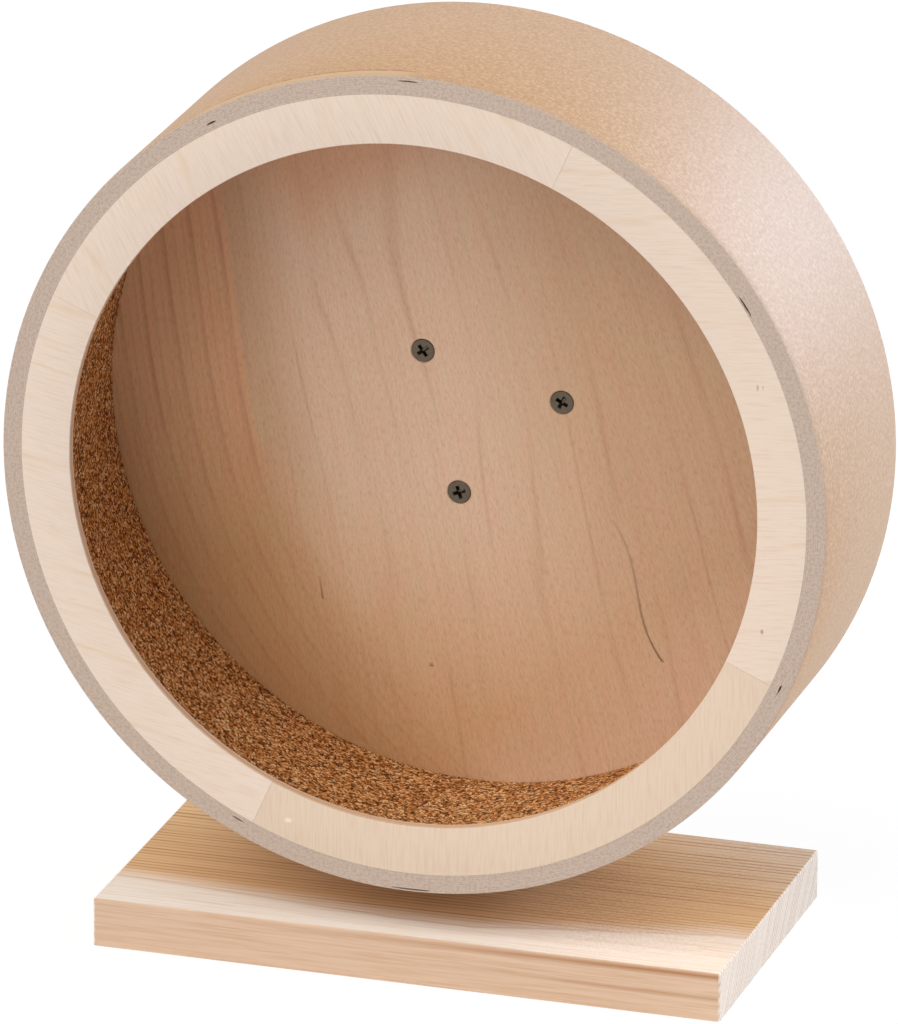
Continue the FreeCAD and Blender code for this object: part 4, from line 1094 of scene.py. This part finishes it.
class WHEEL_OT_back_disc(bpy.types.Operator):
    """Veneer the back disc"""

    bl_idname = "exercise_wheel.back_disc"
    bl_label = "Back Disc"

    def execute(self, context):
        dress_node("back_disc", disc_birch(context.scene.wheel_colours, context.scene.wheel_sizes))
        return {"FINISHED"}


class WHEEL_OT_hub(bpy.types.Operator):
    """Dress the beech hub block and the stand's dowels"""

    bl_idname = "exercise_wheel.hub"
    bl_label = "Hub and Dowels"

    def execute(self, context):
        material = steamed_beech(context.scene.wheel_colours)
        for node in ("hub_block", "stand_dowels"):
            dress_node(node, material)
        return {"FINISHED"}


class WHEEL_OT_bearing(bpy.types.Operator):
    """Dress the ball bearing: ground races and balls, plated shields and a nylon cage"""

    bl_idname = "exercise_wheel.bearing"
    bl_label = "Bearing"

    def execute(self, context):
        paint = context.scene.wheel_colours
        # Ground bearing steel: bright, almost a mirror, with a trace of oil that dulls it in patches.
        steel = metal("Ground bearing steel", paint.steel, 0.16, 2.5)
        for node in ("bearing_outer_race", "bearing_inner_race", "bearing_balls"):
            dress_node(node, steel)
        # Pressed shield steel: thin plated sheet, satin, with a fine haze.
        dress_node("bearing_shields", metal("Pressed shield steel", paint.zinc, 0.3, 1.5))
        dress_node("bearing_cage", moulded_nylon(paint))
        return {"FINISHED"}


class WHEEL_OT_screws(bpy.types.Operator):
    """Drive the countersunk wood screws of the hub and of the stand"""

    bl_idname = "exercise_wheel.screws"
    bl_label = "Wood Screws"

    def execute(self, context):
        sizes = context.scene.wheel_sizes
        # Yellow-passivated screw steel, worn dull by tumbling: grey-brown, satin, darker in the cross recess.
        material = metal("Passivated screw steel", context.scene.wheel_colours.screw, 0.38, 1.2)
        tree = screw_row()
        sink = 0.03 * MM
        for node, facing, seed in (("hub_screws", 0.0, 3), ("stand_screws", math.pi, 5)):
            boxes = solid_boxes(node)
            low, high = boxes[0]
            screw = new_piece("screw", self.screw_mesh(high[0] - low[0], high[1] - low[1], sizes.screw_pitch))
            close_up(screw.data)
            face = 0 if facing == 0.0 else 1
            points = [((a[0] + b[0]) / 2, (a[1], b[1])[face], (a[2] + b[2]) / 2) for a, b in boxes]
            mesh = bpy.data.meshes.new(f"{node}_row")
            mesh.from_pydata(points, [], [])
            piece = new_piece(f"{node}_row", mesh)
            inputs = {"Screw": screw, "Sink": sink, "Facing": facing, "Seed": seed, "Material": material}
            run_tree(piece, tree, inputs)
            bpy.data.objects.remove(screw)
            stand_for(piece, node)
        return {"FINISHED"}

    def screw_mesh(self, head, reach, pitch):
        """A countersunk screw along +Y with its head at the origin: cross recess, cone, thread and point."""
        # The recess, the cone and the point are shares of the head's width
        arm = 0.27 * head
        slot = 0.075 * head
        cosine, sine = (np.maximum(np.abs(wave(ANGLES)), 1e-6) for wave in (np.cos, np.sin))
        bar = np.minimum(arm / cosine, slot / sine)
        cross = np.maximum(bar, np.roll(bar, SEGMENTS // 4))
        shank = 0.25 * head
        cone = 0.5 * head - shank
        rings = [(0.26 * head, 0.5 * cross), (0.03 * head, 0.96 * cross), (0.0, 1.04 * cross)]
        rings += [(0.0, 0.47 * head), (0.03 * head, 0.5 * head), (0.06 * head, 0.5 * head)]
        rings += [(cone, 1.1 * shank)]
        point = reach - 0.6 * head
        turns = np.arange(cone + pitch, point, pitch / THREAD_ROWS)
        rings += [(depth, thread(depth, 0.68 * shank, shank, pitch)) for depth in turns]
        rings += [(reach - 0.1 * head, 0.12 * head), (reach, 0.01 * head)]
        return turned_mesh("screw", rings)


class WHEEL_OT_axle(bpy.types.Operator):
    """Make the axle: hexagon bolt, spacer, washers and locking nut"""

    bl_idname = "exercise_wheel.axle"
    bl_label = "Axle"

    def execute(self, context):
        paint = context.scene.wheel_colours
        sizes = context.scene.wheel_sizes
        # Zinc-plated steel: cool grey, satin, with faint clouds from the bath.
        material = metal("Zinc-plated steel", paint.zinc, 0.32, 2.0)
        dress_node("head_shim", material)
        dress_node("nut_insert", moulded_nylon(paint))
        bolt, nut, insert = (turned_size(node) for node in ("axle_bolt", "axle_nut", "nut_insert"))
        meshes = {
            "axle_bolt": turned_mesh("axle_bolt_turned", self.bolt(bolt, sizes.bolt_pitch)),
            "axle_nut": turned_mesh("axle_nut_turned", self.nut(nut, insert), closed=True),
        }
        for node in ("axle_spacer", "front_washer", "rear_washer"):
            meshes[node] = turned_mesh(f"{node}_turned", self.sleeve(turned_size(node)), closed=True)
        for node, mesh in meshes.items():
            mesh.transform(Matrix.Translation((0.0, 0.0, AXLE_HEIGHT)))
            close_up(mesh)
            stand_for(new_piece(f"{node}_turned", mesh, material), node)
        return {"FINISHED"}

    def chamfer(self, flats, corner):
        """Depths and radii over the chamfered end of a hexagon, from its face in."""
        body = hexagon(flats)
        steps = np.linspace(0.0, 1.0, 5)
        cone = [CHAMFER_FACE * flats * (1 - step) + corner * step for step in steps]
        return [(CHAMFER_DEPTH * step, np.minimum(body, radius)) for step, radius in zip(steps, cone)]

    def bolt(self, bolt, pitch):
        """Rings of the bolt: chamfered hexagon head, plain shank, and thread out to a chamfered end."""
        flats = bolt.outer * math.sqrt(3)
        crest = 3.95 * MM
        head_back = turned_size("head_shim").front
        rings = [(bolt.front + depth, radius) for depth, radius in self.chamfer(flats, bolt.outer)]
        thread_start = turned_size("front_washer").front
        rings += [(head_back, hexagon(flats)), (head_back, crest), (thread_start, crest)]
        row = pitch / THREAD_ROWS
        core = crest - THREAD_DEPTH * pitch
        turns = np.arange(thread_start + row, bolt.back - 0.8 * MM, row)
        rings += [(depth, thread(depth, core, crest, pitch)) for depth in turns]
        return rings + [(bolt.back - 0.7 * MM, crest - 0.4 * MM), (bolt.back, crest - 1.0 * MM)]

    def nut(self, nut, insert):
        """Rings of the locking nut: bore, chamfered hexagon, and the collar rolled over the nylon ring."""
        collar = 6.0 * MM
        shoulder = nut.back - 1.6 * MM
        cut = self.chamfer(nut.outer * math.sqrt(3), nut.outer)
        rings = [(nut.front + 0.5 * MM, nut.inner), (nut.front, nut.inner + 0.5 * MM)]
        rings += [(nut.front + depth, radius) for depth, radius in cut]
        rings += [(shoulder - depth, radius) for depth, radius in reversed(cut)]
        rings += [(shoulder, collar), (nut.back - 0.4 * MM, collar)]
        rings += [(nut.back - 0.1 * MM, collar - 0.15 * MM), (nut.back, collar - 0.45 * MM)]
        return rings + [(nut.back, insert.outer), (insert.front, insert.outer), (insert.front, nut.inner)]

    def sleeve(self, sleeve):
        """Rings of a washer or spacer with its corners taken off."""
        soft = 0.2 * MM
        return [
            (sleeve.front + soft, sleeve.inner),
            (sleeve.front, sleeve.inner + soft),
            (sleeve.front, sleeve.outer - soft),
            (sleeve.front + soft, sleeve.outer),
            (sleeve.back - soft, sleeve.outer),
            (sleeve.back, sleeve.outer - soft),
            (sleeve.back, sleeve.inner + soft),
            (sleeve.back - soft, sleeve.inner),
        ]


class WHEEL_OT_stand(bpy.types.Operator):
    """Dress the pine base board and upright"""

    bl_idname = "exercise_wheel.stand"
    bl_label = "Stand"

    def execute(self, context):
        paint = context.scene.wheel_colours
        sizes = context.scene.wheel_sizes
        low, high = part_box("base_board")
        base = Board((0, 0, 0), BASE_PITH, low.y + SAPWOOD, low.y, high.x, BASE_STREAKS)
        dress_node("base_board", planed_pine("Planed pine, base", paint, sizes, base))
        upright = Board((0, math.pi / 2, 0), UPRIGHT_PITH, -FAR_OFF, -FAR_OFF, FAR_OFF, ())
        dress_node("upright_board", planed_pine("Planed pine, upright", paint, sizes, upright))
        return {"FINISHED"}


class WHEEL_OT_stage(bpy.types.Operator):
    """Set the floor, lamps, sky and camera"""

    bl_idname = "exercise_wheel.stage"
    bl_label = "Stage"

    def execute(self, context):
        scene = context.scene
        scene.view_settings.view_transform = "Standard"
        self.floor()
        for name, lamp in LAMPS.items():
            self.lamp(name, lamp)
        self.sky(scene)
        self.camera(scene)
        return {"FINISHED"}

    def floor(self):
        """A wide white floor that shows the wheel's shadow and no edge."""
        half = FLOOR_SIZE / 2
        mesh = bpy.data.meshes.new("studio_floor")
        corners = [(-half, -half, 0), (half, -half, 0), (half, half, 0), (-half, half, 0)]
        mesh.from_pydata(corners, [], [(0, 1, 2, 3)])
        # White studio paper: it bounces plain light, and where it is looked at it is white out of the shadow.
        material, add, _ = new_material("White studio paper")
        bounce = add("BsdfDiffuse", linear(FLOOR_BOUNCE))
        lit = add("BsdfDiffuse", linear(FLOOR_LIT))
        glow = add("Emission", linear("#FFFFFF"), FLOOR_GLOW)
        shown = add("AddShader", lit, glow)
        surface = add("MixShader", self.looked_at(add), bounce, shown)
        add("OutputMaterial", surface)
        new_piece("studio_floor", mesh, material)

    def looked_at(self, add):
        """1 where the camera, a mirror or glass looks at a surface, and 0 for light that bounces."""
        rays = add("LightPath").node.outputs
        mirrored = add("Math", rays["Is Camera Ray"], rays["Is Glossy Ray"], operation="MAXIMUM")
        return add("Math", mirrored, rays["Is Transmission Ray"], operation="MAXIMUM")

    def lamp(self, name, lamp):
        """A far softbox: parallel light with soft shadows, the same all over the floor."""
        data = bpy.data.lights.new(name, "SUN")
        data.energy = lamp.level * math.pi
        data.angle = math.radians(lamp.spread)
        data.color = linear(lamp.colour)[:3]
        towards = direction(lamp.azimuth, lamp.elevation)
        turn = towards.to_track_quat("Z", "Y").to_matrix().to_4x4()
        obj = bpy.data.objects.new(name, data)
        obj.matrix_world = Matrix.Translation(towards * LAMP_DISTANCE) @ turn
        bpy.context.scene.collection.objects.link(obj)

    def sky(self, scene):
        """An even white sky that lights the wheel weakly and is white where it is seen."""
        world = bpy.data.worlds.new("White studio")
        world.use_nodes = True
        world.node_tree.nodes.clear()
        add = partial(add_node, world.node_tree, "ShaderNode")
        ambient = add("Background", linear("#FFFFFF"), AMBIENT)
        seen = add("Background", linear("#FFFFFF"), 1.0)
        surface = add("MixShader", self.looked_at(add), ambient, seen)
        add("OutputWorld", surface)
        scene.world = world

    def camera(self, scene):
        """The camera at the picture's viewing angle."""
        data = bpy.data.cameras.new("camera")
        data.sensor_width = 36.0
        data.lens = VIEW_LENS
        data.clip_end = 200.0
        back = direction(VIEW_AZIMUTH, VIEW_ELEVATION)
        camera = bpy.data.objects.new("camera", data)
        place = Matrix.Translation(VIEW_TARGET + back * VIEW_DISTANCE)
        aim = back.to_track_quat("Z", "Y").to_matrix().to_4x4()
        camera.matrix_world = place @ aim @ Matrix.Rotation(math.radians(VIEW_ROLL), 4, "Z")
        scene.collection.objects.link(camera)
        scene.camera = camera


OPERATORS = (
    WHEEL_OT_drum_tube,
    WHEEL_OT_front_ring,
    WHEEL_OT_cork_liner,
    WHEEL_OT_back_disc,
    WHEEL_OT_hub,
    WHEEL_OT_bearing,
    WHEEL_OT_screws,
    WHEEL_OT_axle,
    WHEEL_OT_stand,
    WHEEL_OT_stage,
)


class WHEEL_PT_pieces(bpy.types.Panel):
    """The wheel's pieces, sizes and colours"""

    bl_idname = "WHEEL_PT_pieces"
    bl_label = "Exercise Wheel"
    bl_space_type = "VIEW_3D"
    bl_region_type = "UI"
    bl_category = "Exercise Wheel"

    def draw(self, context):
        for operator in OPERATORS:
            self.layout.operator(operator.bl_idname)
        for settings in (context.scene.wheel_sizes, context.scene.wheel_colours):
            box = self.layout.box()
            for name in settings.__annotations__:
                box.prop(settings, name)


CLASSES = (WheelSizes, WheelColours, *OPERATORS, WHEEL_PT_pieces)


def register():
    """Registers the classes and their settings."""
    for item in CLASSES:
        bpy.utils.register_class(item)
    bpy.types.Scene.wheel_sizes = PointerProperty(type=WheelSizes)
    bpy.types.Scene.wheel_colours = PointerProperty(type=WheelColours)


def unregister():
    """Takes the classes and their settings out again."""
    del bpy.types.Scene.wheel_colours
    del bpy.types.Scene.wheel_sizes
    for item in reversed(CLASSES):
        bpy.utils.unregister_class(item)


def main():
    """Builds the wheel and its stage."""
    register()
    bpy.ops.exercise_wheel.drum_tube()
    bpy.ops.exercise_wheel.front_ring()
    bpy.ops.exercise_wheel.cork_liner()
    bpy.ops.exercise_wheel.back_disc()
    bpy.ops.exercise_wheel.hub()
    bpy.ops.exercise_wheel.bearing()
    bpy.ops.exercise_wheel.screws()
    bpy.ops.exercise_wheel.axle()
    bpy.ops.exercise_wheel.stand()
    bpy.ops.exercise_wheel.stage()


if __name__ == "__main__":
    main()
